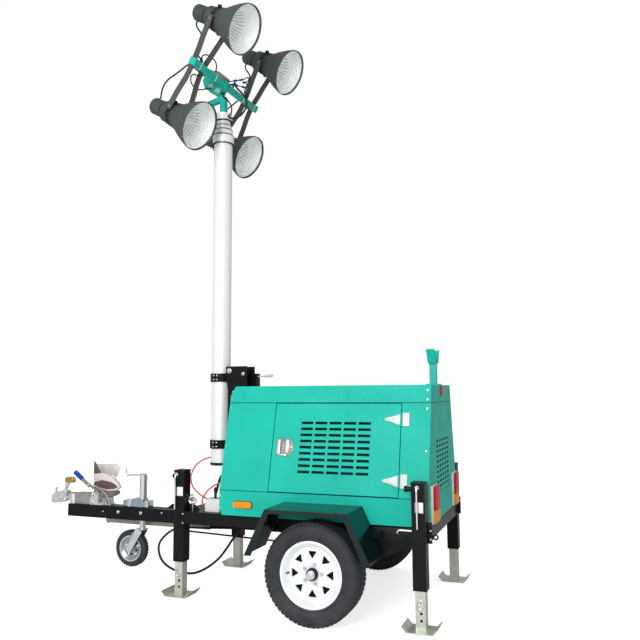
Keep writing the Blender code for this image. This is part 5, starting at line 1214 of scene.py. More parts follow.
def build_tail_lights():
    """A white housing with a red lens over an amber one."""
    inset = 0.005
    for label, _ in SIDES:
        low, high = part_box(f"tail_light_{label}")
        base = block(low, (high.x - 0.014, high.y, high.z), 0.003)
        piece(f"tail_housing_{label}", [base], "white_plastic", replaces=(f"tail_light_{label}",))
        split = low.z + (high.z - low.z) * 0.36
        lenses = (("red", split + 0.001, high.z - inset), ("amber", low.z + inset, split - 0.001))
        for colour, foot, top in lenses:
            lens = block((high.x - 0.0145, low.y + inset, foot), (high.x, high.y - inset, top), 0.004, 3)
            piece(f"tail_{colour}_{label}", [lens], f"lens_{colour}")


# Legs

LEG_ROD = (
    # distance out from the leg's face, distance down from its top
    (0.006, 0.03), (0.016, 0.033), (0.02, 0.048), (0.02, 0.245), (0.019, 0.262),
)
LEG_COLLAR = ((0.0, 0.0), (0.013, 0.0), (0.013, 0.007), (0.009, 0.01), (0.0, 0.01))
LEG_KNOB = ((0.0, 0.0), (0.0125, 0.0), (0.019, 0.004), (0.019, 0.014), (0.016, 0.018), (0.0, 0.019))
LEG_WEB = (
    # distance from the axle, height over the web's foot
    (-1.228, 0.0), (-1.18, 0.034), (-1.124, 0.04), (-1.036, 0.04), (-0.99, 0.036), (-0.972, 0.014),
    (-0.96, 0.0),
)
WEB_FOOT = 0.5586
CLIP_HEAD = ((0.0, 0.0), (0.008, 0.0), (0.008, 0.003), (0.006, 0.004), (0.0, 0.004))


def build_leg(name, x, y):
    """The crank rod, cap, label, flange, bolts and locking pin of one leg."""
    side = -1 if y < 0 else 1
    out = (0, side, 0)
    face_y = y + side * LEG_HALF
    front = name.startswith("front")
    rod_x = x - 0.02 if front else x - 0.004
    rod = [(rod_x, face_y + side * reach, LEG_TOP - drop) for reach, drop in LEG_ROD]
    piece(f"leg_crank_{name}", [tube(rod, 0.0062, 0.012)], "chrome")
    hub = facing_matrix(at(rod_x, face_y, LEG_TOP - 0.03), out)
    piece(f"leg_crank_collar_{name}", [turned(LEG_COLLAR, hub)], "zinc_plate")
    label = slab(rounded_outline(0.024, 0.03, 0.002), 0.0002, 0.0008, 0.0002)
    label = placed(label, facing_matrix(at(x + 0.006, face_y, 0.692), out))
    piece(f"leg_label_{name}", [label], "label_white")
    cap = box_from((x - 0.043, y - 0.043, LEG_TOP - 0.012), (x + 0.043, y + 0.043, LEG_TOP + 0.0006), 0.003)
    piece(f"leg_cap_{name}", [cap], "chassis_paint")
    if not front:
        boss = facing_matrix(at(x - LEG_HALF - 0.031, y, LEG_TOP - 0.045), (-1, 0, 0))
        piece(f"leg_knob_{name}", [turned(LEG_KNOB, boss)], "rubber_black")
    back_y = y - side * LEG_HALF
    plate_y = back_y + side * 0.0085
    low_y, high_y = sorted((back_y - side * 0.0005, plate_y))
    plate = box_from((x - 0.057, low_y, 0.478), (x + 0.064, high_y, 0.6))
    piece(f"leg_flange_{name}", [plate], "chassis_paint")
    spots = [(at(x + dx, plate_y, z), out) for dx, z in ((-0.049, 0.552), (0.055, 0.552), (0.055, 0.502))]
    if front:
        spots += [(at(x + 0.031, face_y, z), out) for z in (0.543, 0.483)]
        web = [(place, WEB_FOOT + rise) for place, rise in LEG_WEB[::-1]]
        piece(f"leg_web_{name}", [profile_slab(web, *span(side, 0.38, 0.388))], "chassis_paint")
        spots.append((at(-1.214, side * 0.4655, 0.54), out))
    fasteners(f"leg_bolts_{name}", "small_nut", spots)
    tube_y = y + side * 0.03
    body = f"leg_{name}"
    # Painted shade: dark discs stand for the pin holes in the leg's inner tube.
    shade_discs = [hole_shade_disc(0.008, at(x + 0.004, tube_y, z), out) for z in (0.1, 0.06)]
    piece(f"leg_pin_hole_shades_{name}", shade_discs, "engine_dark", body)
    ring_y = tube_y + side * 0.0024
    clip = [
        ring_shape(at(x + 0.002, ring_y, 0.146), out, 0.02, 0.0019),
        ring_shape(at(x - 0.006, ring_y, 0.16), out, 0.009, 0.0019),
        turned(CLIP_HEAD, facing_matrix(at(x + 0.002, tube_y, 0.168), out), 20),
    ]
    piece(f"leg_clip_{name}", clip, "chrome", body)


def build_legs():
    """All four legs' fittings, and the small parts on the deck and frame beside them."""
    for name, (x, y) in LEGS.items():
        build_leg(name, x, y)
    handle = [(0.474, -0.56, 0.532), (0.476, -0.56, 0.546), (0.486, -0.56, 0.551), (0.56, -0.56, 0.551)]
    piece("corner_pin", [tube(handle, 0.006)], "zinc_plate")
    hook = tube([(0.652, -0.52, 0.512), (0.672, -0.52, 0.511), (0.684, -0.52, 0.514)], 0.01)
    eye = ring_shape(at(0.693, -0.52, 0.516), (0, 1, 0), 0.013, 0.005)
    piece("rear_hook", [hook, eye], "chassis_paint")
    centre = at(-1.012, -0.392, 0.632)
    disc = [(0.0, -0.004), (0.019, -0.004), (0.019, 0.004), (0.0, 0.005)]
    dial = [
        ring_shape(centre, (0, -1, 0), 0.03, 0.0048),
        turned(disc, facing_matrix(centre, (0, -1, 0)), 32),
        wire([at(-1.012, -0.392, 0.6), at(-1.012, -0.392, 0.556)], 0.0045, 10),
    ]
    piece("deck_ring", dial, "zinc_plate")
    gusset = ((0.2, 0.545), (0.2, 0.35), (0.285, 0.33), (0.566, 0.458), (0.566, 0.545))
    for label, side in SIDES:
        shape = profile_slab(gusset, *span(side, 0.4655, 0.4715), 0.001)
        piece(f"side_gusset_{label}", [shape], "chassis_paint")


# Mast

MAST_FOOT = (
    (0.0, 0.8255), (0.066, 0.8255), (0.075, 0.828), (0.076, 0.835), (0.076, 0.845), (0.0735, 0.848),
    (0.0716, 0.848), (0.0716, 0.8376), (0.0, 0.8376),
)
CLAMP_HEIGHTS = (0.982, 1.474)
COLLARS = (
    # body, collar radius, low and high end
    ("mast_base", 0.0832, 3.296, 3.365), ("mast_second", 0.0732, 3.3655, 3.41),
    ("mast_third", 0.0642, 3.4105, 3.447),
)
# Dark rubber rings at the collars' joints: seals, and painted shade where the collars meet.
SEALS_AND_GAP_SHADES = (
    # height, inner and outer radius, body
    (3.2955, 0.07, 0.0838, "mast_base"), (3.365, 0.06, 0.0838, "mast_base"),
    (3.41, 0.051, 0.0738, "mast_second"), (3.4472, 0.042, 0.0648, "mast_third"),
    (3.485, 0.042, 0.0705, "mast_fourth"),
)
WINCH_ROD = ((-0.752, 0.1, 1.482), (-0.715, 0.1, 1.484), (-0.69, 0.1, 1.486), (-0.655, 0.1, 1.488))
WINCH_GRIP = ((-0.7, 0.1, 1.4855), (-0.696, 0.1, 1.4856), (-0.64, 0.1, 1.4885), (-0.636, 0.1, 1.4886))
SUPPORT_BOLTS = ((-0.795, 1.5), (-0.795, 1.33), (-0.795, 1.02), (-0.848, 1.02))


def build_mast_fittings():
    """The mast's foot, clamp lugs, collar bands, dark seals with painted shade at the collars' joints, its
    winch crank and the support's bolts.
    """
    axis = Matrix.Translation(at(MAST_X, 0, 0))
    piece("mast_foot", [turned(MAST_FOOT, axis, 48)], "rubber_black", "mast_base")
    lugs = []
    spots = []
    for height in CLAMP_HEIGHTS:
        for side in (-1, 1):
            low_y, high_y = span(side, 0.0795, 0.093)
            low = (MAST_X - 0.026, low_y, height - 0.029)
            lugs.append(box_from(low, (MAST_X + 0.026, high_y, height + 0.029)))
            for dx, dz in ((-0.014, -0.015), (-0.014, 0.015), (0.014, -0.015), (0.014, 0.015)):
                spots.append((at(MAST_X + dx, side * 0.093, height + dz), (0, side, 0)))
    piece("mast_clamp_lugs", lugs, "chassis_paint", "mast_base")
    fasteners("mast_clamp_bolts", "small_nut", spots, body="mast_base")
    for body, radius, low, high in COLLARS:
        bands = []
        for z in (low + 0.006, high - 0.006):
            half = ((radius - 0.002, 0.003), (radius + 0.0012, 0.002))
            ring = [(reach, z - rise) for reach, rise in half]
            ring += [(reach, z + rise) for reach, rise in half[::-1]]
            bands.append(turned(ring, axis, 64, closed=True))
        piece(f"collar_bands_{body}", bands, "zinc_plate", body)
    # Painted shade: these dark rings darken the joints between collars, made as rubber seals.
    for number, (height, inner, outer, body) in enumerate(SEALS_AND_GAP_SHADES):
        low, high = height - 0.0035, height + 0.0015
        ring = [(inner, low), (outer, low), (outer, high), (inner, high)]
        piece(f"collar_seal_and_shade_{number}", [turned(ring, axis, 64, closed=True)], "rubber_black", body)
    crank = [
        wire([at(*point) for point in WINCH_ROD], 0.006, 12),
        wire([at(*point) for point in WINCH_GRIP], 0.0, 16, [0.008, 0.0125, 0.0125, 0.009]),
    ]
    piece("winch_crank", crank, "white_plastic")
    spots = [(at(PIVOT_X, side * 0.079, PIVOT_Z), (0, side, 0)) for side in (-1, 1)]
    fasteners("pivot_bolts", "large_bolt", spots)
    spots = [(at(x, side * 0.071, z), (0, side, 0)) for side in (-1, 1) for x, z in SUPPORT_BOLTS]
    fasteners("support_bolts", "frame_bolt", spots)


# Lamp head

LAMP_SHELL = (
    (0.0, LAMP_REAR), (0.046, LAMP_REAR), (0.056, -0.174), (0.0615, -0.164), (0.062, -0.128), (0.06, -0.1265),
    (0.06, -0.1225), (0.062, -0.121), (0.062, -0.112), (0.06, -0.1105), (0.06, -0.1065), (0.062, -0.105),
    (0.062, -0.096), (0.06, -0.0945), (0.06, -0.0905), (0.062, -0.089), (0.062, -0.054), (0.07, -0.05),
    (0.078, -0.046), (0.08, -0.04), (0.078, -0.034), (0.0785, -0.01), (0.083, 0.02), (0.088, 0.06),
    (0.0915, 0.085), (0.0985, 0.105), (0.11, 0.128), (0.1275, 0.16), (0.1465, 0.2), (0.164, 0.238),
    (0.175, 0.27), (0.1785, 0.2845), (0.1813, 0.287), (0.1813, 0.3015), (0.1795, 0.303), (0.1776, 0.303),
    (0.1776, 0.2885), (0.1745, 0.287), (0.174, 0.278), (0.161, 0.238), (0.1435, 0.2), (0.1235, 0.16),
    (0.101, 0.122), (0.084, 0.0935), (0.06, 0.0565), (0.0, 0.05),
)
LAMP_MIRROR = (
    (0.0, 0.058), (0.03, 0.059), (0.055, 0.066), (0.079, 0.096), (0.096, 0.122), (0.119, 0.16),
    (0.1395, 0.2), (0.1575, 0.238), (0.169, 0.27), (0.1725, 0.284), (0.1737, 0.284), (0.1703, 0.2695),
    (0.159, 0.2375), (0.141, 0.1994), (0.1205, 0.1592), (0.0975, 0.1212), (0.0803, 0.095), (0.0555, 0.0645),
    (0.03, 0.0575), (0.0, 0.0565),
)
LAMP_LENS = (
    (0.0, 0.3005), (0.06, 0.2995), (0.12, 0.2965), (0.16, 0.293), (0.1772, 0.2905), (0.1772, 0.2888),
    (0.16, 0.2898), (0.12, 0.293), (0.06, 0.296), (0.0, 0.297),
)
LAMP_BULB = (
    (0.0, 0.058), (0.017, 0.058), (0.017, 0.086), (0.014, 0.09), (0.014, 0.1), (0.024, 0.118),
    (0.029, 0.142), (0.026, 0.166), (0.018, 0.185), (0.013, 0.2), (0.011, 0.214), (0.006, 0.22),
    (0.0, 0.222),
)
CLAMP_RING = ((0.0855, 0.03), (0.0895, 0.03), (0.0925, 0.06), (0.0885, 0.06))
REAR_RING = ((0.0605, -0.07), (0.064, -0.07), (0.064, -0.06), (0.0605, -0.06))
COOLING_RIB = (
    # radius, height
    (0.075, -0.015), (0.095, 0.11), (0.103, 0.11), (0.0975, 0.085), (0.0855, 0.005), (0.0795, -0.015),
)
RIB_COUNT = 16


def build_lamps():
    """The four floodlights: shell, mirror, glass, bulb, clamp and clips."""
    for row in LAMP_HEIGHTS:
        for label, side in SIDES:
            name = f"lamp_{row}_{label}"
            matrix = lamp_matrix(row, side)
            shell = [turned(LAMP_SHELL, matrix, 96)]
            shell.append(wire([matrix @ Vector((0, y, 0.012)) for y in (-0.101, 0.101)], 0.026, 24))
            for index in range(RIB_COUNT):
                around = Matrix.Rotation(2 * pi * (index + 0.5) / RIB_COUNT, 4, "Z")
                upright = matrix @ around @ Matrix.Rotation(pi / 2, 4, "X")
                shell.append(placed(slab(COOLING_RIB, -0.0015, 0.0015), upright))
            piece(f"{name}_shell", shell, "lamp_paint", name, (name,))
            mirror = placed(lathe(LAMP_MIRROR, 96, mapped=True), matrix)
            piece(f"{name}_mirror", [mirror], "reflector", name)
            glass = turned(LAMP_LENS, matrix, 96)
            piece(f"{name}_glass", [glass], "lamp_glass", name, (f"lens_{row}_{label}",))
            piece(f"{name}_bulb", [turned(LAMP_BULB, matrix, 32)], "label_white", name)
            straps = [turned(ring, matrix, 64, closed=True) for ring in (CLAMP_RING, REAR_RING)]
            for turn in (0.6, pi + 0.6):
                lug = block((0.086, -0.01, 0.032), (0.108, 0.01, 0.058), 0.002)
                straps.append(placed(lug, matrix @ Matrix.Rotation(turn, 4, "Z")))
            piece(f"{name}_clamp", straps, "rubber_black", name)
            turns = [pi / 4 + pi / 2 * index for index in range(4)]
            ways = [Vector((cos(turn), sin(turn), 0)) for turn in turns]
            spots = [(matrix @ (way * 0.181 + Vector((0, 0, 0.2945))), matrix.to_3x3() @ way) for way in ways]
            fasteners(f"{name}_clips", "tiny_screw", spots, body=name)


BAR_HALF = 0.025
BAR_ENDS = (-0.448, 0.498)
BAR_CAPS = (
    # middle, width
    (-0.424, 0.046), (0.476, 0.04),
)
BAR_TIES = (-0.364, -0.154, 0.27, 0.446)
BAR_CHEEK = (
    (-0.175, 0.03), (-0.12, -0.024), (-0.03, -0.032), (0.02, -0.032), (0.036, -0.018), (0.036, 0.042),
    (-0.012, 0.086), (-0.085, 0.096), (-0.175, 0.08),
)


def bar_length(low_y, high_y, grow, bevel):
    """A length of square bar about the lamp bar's middle, grown outwards."""
    reach = BAR_HALF + grow
    low = (BAR_FORWARD - reach, low_y, BAR_RISE - reach)
    return block(low, (BAR_FORWARD + reach, high_y, BAR_RISE + reach), bevel)


def bar_tie(y):
    """The four sides of a tie pulled round the square lamp bar."""
    inner = 0.0252
    outer = 0.0274
    shapes = []
    for sign in (1, -1):
        near, far = span(sign, inner, outer)
        for low_x, high_x, low_z, high_z in ((near, far, -outer, outer), (-outer, outer, near, far)):
            low = (BAR_FORWARD + low_x, y - 0.0035, BAR_RISE + low_z)
            high = (BAR_FORWARD + high_x, y + 0.0035, BAR_RISE + high_z)
            shapes.append(placed(block(low, high, 0.0004, 1), HEAD))
    return shapes


ARM_ROUTE = (
    # height, forward, half spacing, share of the shift towards the bracket's foot
    (0.41, 0.02, 0.1085, 0.0), (0.39, 0.024, 0.1085, 0.0), (0.35, 0.027, 0.106, 0.0), (0.3, 0.022, 0.1, 0.08),
    (0.24, 0.01, 0.09, 0.25), (0.17, -0.006, 0.078, 0.55), (0.11, -0.026, 0.068, 0.85),
    (0.064, -0.034, 0.064, 1.0), (0.015, -0.034, 0.064, 1.0), (-0.05, -0.024, 0.07, 0.85),
    (-0.12, -0.004, 0.084, 0.5), (-0.19, 0.012, 0.096, 0.2), (-0.25, 0.022, 0.104, 0.04),
    (-0.29, 0.024, 0.1085, 0.0), (-0.325, 0.02, 0.1085, 0.0),
)
ARM_SHIFT = {"left": 0.055, "right": 0.08}


def build_arms():
    """The bowed pairs of flat arms that carry two floodlights each."""
    for label, side in SIDES:
        shift = ARM_SHIFT[label]
        shapes = []
        for direction in (-1, 1):
            route = [
                (forward, side * LAMP_Y + direction * spacing + shift * share, height)
                for height, forward, spacing, share in ARM_ROUTE
            ]
            shapes.append(strap(smoothed(route, 0.02), 0.046, 0.009, (1, 0, 0)))
        middle = side * LAMP_Y + shift
        shapes.append(block((-0.0145, middle - 0.066, 0.03), (-0.0098, middle + 0.066, 0.098), 0.001))
        shapes = [placed(shape, HEAD) for shape in shapes]
        piece(f"bowed_arms_{label}", shapes, "arm_grey", "lamp_bar", (f"yoke_{label}",))
        spots = [
            (HEAD @ Vector((0.023, side * LAMP_Y + way * 0.113, height)), HEAD.to_3x3() @ Vector((0, way, 0)))
            for height in (0.385, -0.305) for way in (-1, 1)
        ]
        fasteners(f"arm_bolts_{label}", "small_nut", spots, body="lamp_bar")


def build_bar():
    """The square bar with its pivot cheeks, saddle, two boxes, ties and bolts."""
    upright = Matrix.Rotation(pi / 2, 4, "X")
    shapes = [bar_length(*BAR_ENDS, 0, 0.004)]
    shapes += [placed(slab(BAR_CHEEK, *ends, 0.0012), upright) for ends in ((-0.036, -0.03), (0.03, 0.036))]
    shapes.append(block((-0.015, -0.03, 0.088), (0.047, 0.016, 0.094), 0.0012))
    shapes.append(block((0.0405, -0.03, 0.004), (0.047, 0.016, 0.092), 0.0012))
    shapes += [bar_length(y - width / 2, y + width / 2, 0.003, 0.003) for y, width in BAR_CAPS]
    piece("lamp_bar_tube", [placed(shape, HEAD) for shape in shapes], "head_paint", "lamp_bar", ("lamp_bar",))
    for name, low, high, bevel in (
        ("junction_box", (-0.082, -0.118, 0.066), (-0.016, 0.062, 0.116), 0.004),
        ("bar_joint_box", (-0.055, -0.085, 0.0905), (-0.012, 0.07, 0.133), 0.003),
    ):
        piece(name, [placed(block(low, high, bevel), HEAD)], "box_grey", "lamp_bar")
    spots = [
        (HEAD @ Vector((forward, way * 0.036, height)), HEAD.to_3x3() @ Vector((0, way, 0)))
        for way in (-1, 1) for forward, height in ((0.0, 0.0), (-0.074, 0.01))
    ]
    fasteners("bar_pivot_bolts", "large_bolt", spots, body="lamp_bar")
    for number, y in enumerate(BAR_TIES):
        piece(f"bar_tie_{number}", bar_tie(y), "tie_white", "lamp_bar")


HEAD_TONGUE = (
    (-0.023, 3.65), (0.023, 3.65), (0.02, 3.688), (-0.012, 3.699), (-0.022, 3.72), (-0.024, 3.752),
    (-0.04, 3.766), (-0.066, 3.757), (-0.072, 3.73), (-0.06, 3.706),
)
HEAD_STRUT = ((-0.19, 3.62), (-0.185, 3.662), (-0.015, 3.697), (-0.015, 3.655))


def build_mast_head():
    """The post on the mast's top, its tongue between the bar's cheeks and its strut."""
    turn = Matrix.Translation(at(MAST_X, 0, 0)) @ Matrix.Rotation(-HEAD_YAW, 4, "Z")
    upright = Matrix.Rotation(pi / 2, 4, "X")
    shapes = [
        block((-0.023, -0.023, 3.5403), (0.023, 0.023, 3.688), 0.003),
        block((-0.038, -0.038, 3.5403), (0.038, 0.038, 3.5475), 0.002),
        placed(slab(HEAD_TONGUE, -0.024, 0.024, 0.002), upright),
        placed(slab(HEAD_STRUT, -0.018, 0.018, 0.002), upright),
    ]
    shapes = [mended(placed(shape, turn)) for shape in shapes]
    piece("mast_head_frame", shapes, "head_paint", "mast_fourth", ("mast_head",))


HEAD_SLACK = (
    # piece, radius, points in the lamp bar's frame
    ("slack_loop_upper", 0.0048, (
        (-0.02, -0.296, 0.091), (-0.028, -0.308, 0.108), (-0.03, -0.3195, 0.1455), (-0.03, -0.285, 0.174),
        (-0.03, -0.231, 0.179), (-0.03, -0.185, 0.182), (-0.03, -0.15, 0.172), (-0.032, -0.118, 0.15),
        (-0.036, -0.105, 0.1165),
    )),
    ("slack_loop_lower", 0.0048, (
        (-0.012, -0.222, 0.04), (-0.04, -0.2466, 0.0154), (-0.055, -0.288, 0.004),
        (-0.058, -0.3057, -0.0165), (-0.055, -0.292, -0.05), (-0.055, -0.252, -0.07),
        (-0.055, -0.2084, -0.0752), (-0.055, -0.16, -0.066), (-0.056, -0.11, -0.04), (-0.06, -0.07, -0.016),
        (-0.066, -0.0365, -0.006),
    )),
    ("plug_wire_upper", 0.0042, (
        (0.0, 0.03, 0.09), (0.0, 0.06, 0.118), (0.0, 0.117, 0.154), (0.0, 0.165, 0.18), (0.0, 0.205, 0.204),
        (0.0, 0.234, 0.234), (0.0, 0.256, 0.241), (0.0, 0.264, 0.222), (0.0, 0.25, 0.2),
        (0.0, 0.228, 0.186), (0.0, 0.206, 0.18),
    )),
    ("plug_wire_lower", 0.0042, (
        (0.008, 0.052, 0.089), (0.008, 0.09, 0.112), (0.008, 0.1404, 0.1262), (0.008, 0.2, 0.142),
        (0.008, 0.245, 0.154), (0.008, 0.266, 0.17), (0.008, 0.258, 0.19), (0.008, 0.236, 0.192),
        (0.008, 0.215, 0.18),
    )),
)
HEAD_DROPS = (
    # piece, radius, points in the lamp bar's frame, points from the axle
    (
        "mast_top_cable", 0.0075,
        ((0.0, 0.07, 0.0885), (0.01, 0.072, 0.102), (0.034, 0.066, 0.108), (0.062, 0.046, 0.09)),
        (
            (-0.895, -0.045, 3.768), (-0.854, -0.09, 3.701), (-0.795, -0.1, 3.635), (-0.763, -0.1, 3.572),
            (-0.776, -0.1, 3.508), (-0.825, -0.092, 3.47), (-0.885, -0.07, 3.468), (-0.925, -0.045, 3.485),
            (-0.9515, -0.03, 3.505),
        ),
    ),
    (
        "mast_top_lead", 0.0055,
        ((0.047, -0.012, 0.01), (0.06, -0.022, 0.002), (0.078, -0.04, -0.022)),
        (
            (-0.948, -0.055, 3.628), (-0.918, -0.06, 3.58), (-0.912, -0.058, 3.54), (-0.93, -0.048, 3.513),
            (-0.956, -0.036, 3.512),
        ),
    ),
)
BLUE_PLUGS = (
    # start and end in the lamp bar's frame
    ((-0.028, -0.309, 0.104), (-0.03, -0.3185, 0.136)), ((0.0, 0.1, 0.144), (0.0, 0.134, 0.163)),
    ((0.0, 0.16, 0.177), (0.0, 0.196, 0.199)), ((0.008, 0.126, 0.122), (0.008, 0.16, 0.131)),
    ((0.008, 0.215, 0.146), (0.008, 0.246, 0.155)), ((0.0, 0.214, 0.181), (0.0, 0.24, 0.192)),
)


def build_head_cables():
    """Slack loops, plugs and the two cables that drop from the bar to the mast's top."""
    for name, radius, points in HEAD_SLACK:
        route = smoothed([HEAD @ Vector(point) for point in points], radius * 3)
        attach(lay_cord(name, radius, route, sides=10), "lamp_bar")
    plugs = []
    for start, end in BLUE_PLUGS:
        first = HEAD @ Vector(start)
        last = HEAD @ Vector(end)
        ahead = (last - first) * 0.12
        route = [first, first + ahead, last - ahead, last]
        plugs.append(wire(route, 0.0, 14, [0.006, 0.0092, 0.0092, 0.006]))
    piece("blue_plugs", plugs, "blue_tape", "lamp_bar")
    for name, radius, upper, lower in HEAD_DROPS:
        points = [HEAD @ Vector(point) for point in upper] + [at(*point) for point in lower]
        route = smoothed(points, radius * 3)
        cord = lay_cord(name, radius, route)
        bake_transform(cord)


def build_lamp_head():
    build_arms()
    build_bar()
    build_mast_head()
    build_head_cables()


# Drawbar, jockey wheel, coupling

JOCKEY_TYRE = (
    (0.0965, 0.024), (0.1, 0.0272), (0.108, 0.0285), (0.118, 0.028), (0.127, 0.0245), (0.1325, 0.019),
    (0.1352, 0.012), (0.1362, 0.006),
)
JOCKEY_DISC = (
    (0.009, 0.0338), (0.0225, 0.0338), (0.024, 0.031), (0.0245, 0.01), (0.03, 0.0085), (0.064, 0.0085),
    (0.072, 0.011), (0.082, 0.021), (0.09, 0.0262), (0.096, 0.0262),
)
JOCKEY_RIM = ((0.088, 0.0255), (0.0975, 0.0262), (0.0975, 0.0282), (0.088, 0.0275))
JOCKEY_FORK = (
    (-1.813, 0.176), (-1.8, 0.154), (-1.77, 0.154), (-1.752, 0.178), (-1.71, 0.274), (-1.76, 0.296),
)
CLAMP_SCREWS = (
    # distance from the axle, height, distance out
    (-1.728, 0.536, 0.0396), (-1.728, 0.52, 0.0396), (-1.728, 0.503, 0.0396), (-1.635, 0.52, 0.0391),
)
DRAWBAR_SEAT = 0.484


def build_jockey_wheel():
    """The jockey wheel's tyre, disc and fork, and the clamp round its post."""
    matrix = Matrix.Translation(at(*JOCKEY_WHEEL)) @ Matrix.Rotation(-pi / 2, 4, "X")
    shapes = [turned(mirrored(JOCKEY_TYRE), matrix, 72, closed=True)]
    for sign in (1, -1):
        shapes.append(ring_blocks(
            matrix, count=48, ring_radius=0.1335, ring_height=sign * 0.012, block_depth=0.01,
            block_length=0.0095, block_width=0.019, slant=sign * 0.5, lean=0.0, phase=0.25 - sign * 0.25,
        ))
    piece("jockey_tyre", shapes, "tyre_rubber", "jockey_roller", ("jockey_wheel",))
    disc = turned(mirrored(JOCKEY_DISC), matrix, 72, closed=True)
    piece("jockey_disc", [disc], "zinc_blue", "jockey_roller")
    rims = []
    bolts = []
    shade_discs = []
    forks = []
    for side in (-1, 1):
        section = [(radius, side * height) for radius, height in JOCKEY_RIM][::side]
        rims.append(mended(turned(section, matrix, 72, closed=True)))
        out = matrix.to_3x3() @ Vector((0, 0, side))
        for index in range(5):
            turn = 2 * pi * (index + 0.5) / 5 + 0.3
            bolts.append((matrix @ Vector((0.055 * cos(turn), 0.055 * sin(turn), side * 0.0086)), out))
            turn = 2 * pi * index / 5 + 0.3
            place = matrix @ Vector((0.046 * cos(turn), 0.046 * sin(turn), side * 0.0086))
            shade_discs.append(hole_shade_disc(0.011, place, out))
        forks.append(profile_slab(JOCKEY_FORK, *span(side, 0.0372, 0.0412), 0.0012))
    piece("jockey_rim_edges", rims, "zinc_plate", "jockey_roller")
    fasteners("jockey_disc_bolts", "frame_bolt", bolts, body="jockey_roller")
    piece("jockey_fork_plates", forks, "zinc_blue", "jockey")
    plates = [
        box_from((-1.772, -0.0395, DRAWBAR_SEAT), (-1.668, 0.0395, 0.548), 0.003),
        box_from((-1.853, -0.035, DRAWBAR_SEAT), (-1.64, 0.035, 0.533), 0.003),
    ]
    piece("jockey_clamp_block", plates, "zinc_blue", replaces=("jockey_clamp",))
    ears = [
        box_from((-1.812, -0.04, DRAWBAR_SEAT), (-1.778, 0.04, 0.538), 0.006),
        box_from((-1.648, -0.039, DRAWBAR_SEAT), (-1.622, 0.039, 0.536), 0.004),
    ]
    piece("jockey_clamp_ears", ears, "zinc_plate")
    spots = [(at(x, side * reach, z), (0, side, 0)) for side in (-1, 1) for x, z, reach in CLAMP_SCREWS]
    fasteners("jockey_clamp_bolts", "tiny_screw", spots)
    # Painted shade: dark discs stand for the holes in the jockey wheel's disc.
    piece("jockey_disc_hole_shades", shade_discs, "engine_dark", "jockey_roller")


COUPLING_LEVER = ((-2.448, 0, 0.548), (-2.44, 0, 0.59), (-2.428, 0, 0.64), (-2.42, 0, 0.66))
COUPLING_FOOT = ((-2.474, 0.54), (-2.414, 0.54), (-2.408, 0.58), (-2.462, 0.58))
COUPLING_KNOB = (
    (-2.436, 0.64), (-2.358, 0.642), (-2.354, 0.672), (-2.366, 0.688), (-2.428, 0.686), (-2.44, 0.67),
)
COUPLING_STRIP = ((-2.404, 0.5585), (-2.322, 0.5585), (-2.322, 0.568), (-2.404, 0.568))
COUPLING_BOLTS = (
    # distance from the axle, height, distance out
    (-2.15, 0.56, 0.0391), (-2.15, 0.505, 0.0391), (-2.072, 0.56, 0.0391), (-2.072, 0.505, 0.0391),
    (-2.47, 0.522, 0.0341), (-2.43, 0.512, 0.0341),
)


def build_coupling():
    """The coupling's latch, brass parts, cover, flange and bolts."""
    latch = [tube(COUPLING_LEVER, 0.0125, sides=14), profile_slab(COUPLING_FOOT, -0.026, 0.026)]
    piece("coupling_latch", latch, "zinc_plate")
    knob = profile_slab(COUPLING_KNOB, -0.02, 0.02, 0.006)
    piece("coupling_brass", [knob, profile_slab(COUPLING_STRIP, -0.012, 0.012)], "brass")
    cover = box_from((-2.314, -0.041, DRAWBAR_SEAT), (-2.172, 0.041, 0.57), 0.005)
    piece("coupling_cover", [cover], "brake_steel")
    flange = box_from((-2.34, -0.044, DRAWBAR_SEAT), (-2.314, 0.044, 0.56), 0.003)
    piece("coupling_flange", [flange], "label_white")
    spots = [(at(x, side * reach, z), (0, side, 0)) for side in (-1, 1) for x, z, reach in COUPLING_BOLTS]
    fasteners("coupling_bolts", "frame_bolt", spots)


BRAKE_LEVER = (
    (-2.06, -0.053, 0.52), (-2.068, -0.053, 0.56), (-2.092, -0.053, 0.596), (-2.135, -0.053, 0.624),
    (-2.17, -0.053, 0.644), (-2.25, -0.053, 0.691),
)
BRAKE_GRIP = ((-2.231, -0.053, 0.68), (-2.3085, -0.053, 0.7365))
BRAKE_QUADRANT = (
    (-2.11, -0.03, 0.618), (-2.079, -0.03, 0.606), (-2.03, -0.03, 0.576), (-1.999, -0.03, 0.539),
    (-1.978, -0.03, 0.484),
)


def build_brake_gear():
    """The hand brake lever with its grip, and the bar and rods under the drawbar."""
    hub = [at(-2.06, y, 0.52) for y in (-0.041, -0.045, -0.063)]
    lever = [tube(BRAKE_LEVER, 0.01, 0.012), wire(hub, 0.014, 16)]
    piece("hand_brake_lever", lever, "latch_steel", "brake_lever", ("brake_lever",))
    foot, tip = (at(*point) for point in BRAKE_GRIP)
    ahead = (tip - foot).normalized()
    route = [foot, foot + ahead * 0.004, tip - ahead * 0.004, tip]
    grip = wire(route, 0.0, 20, [0.0145, 0.018, 0.018, 0.014])
    piece("brake_grip", [grip], "blue_grip", "brake_lever")
    sleeve = wire([foot - ahead * 0.07, foot + ahead * 0.001], 0.0135, 16)
    piece("brake_sleeve", [sleeve], "latch_shade", "brake_lever")
    collar = wire([foot - ahead * 0.084, foot - ahead * 0.068], 0.0165, 16)
    piece("brake_collar", [collar], "zinc_plate", "brake_lever")
    piece("brake_quadrant", [tube(BRAKE_QUADRANT, 0.0085)], "brake_steel")
    bar = box_from((-2.05, 0.0465, 0.337), (-1.13, 0.0785, 0.387))
    eye = ring_shape(at(-2.06, 0.0625, 0.352), (0, 1, 0), 0.015, 0.008)
    piece("brake_bar_sleeve", [bar, eye], "brake_steel")
    ends = (((-1.3, 0.0, 0.352), (-0.62, 0.0, 0.384)), ((-1.3, 0.0, 0.328), (-0.15, 0.0, 0.292)))
    piece("brake_rods", [wire([at(*start), at(*end)], 0.0065, 10) for start, end in ends], "chassis_paint")


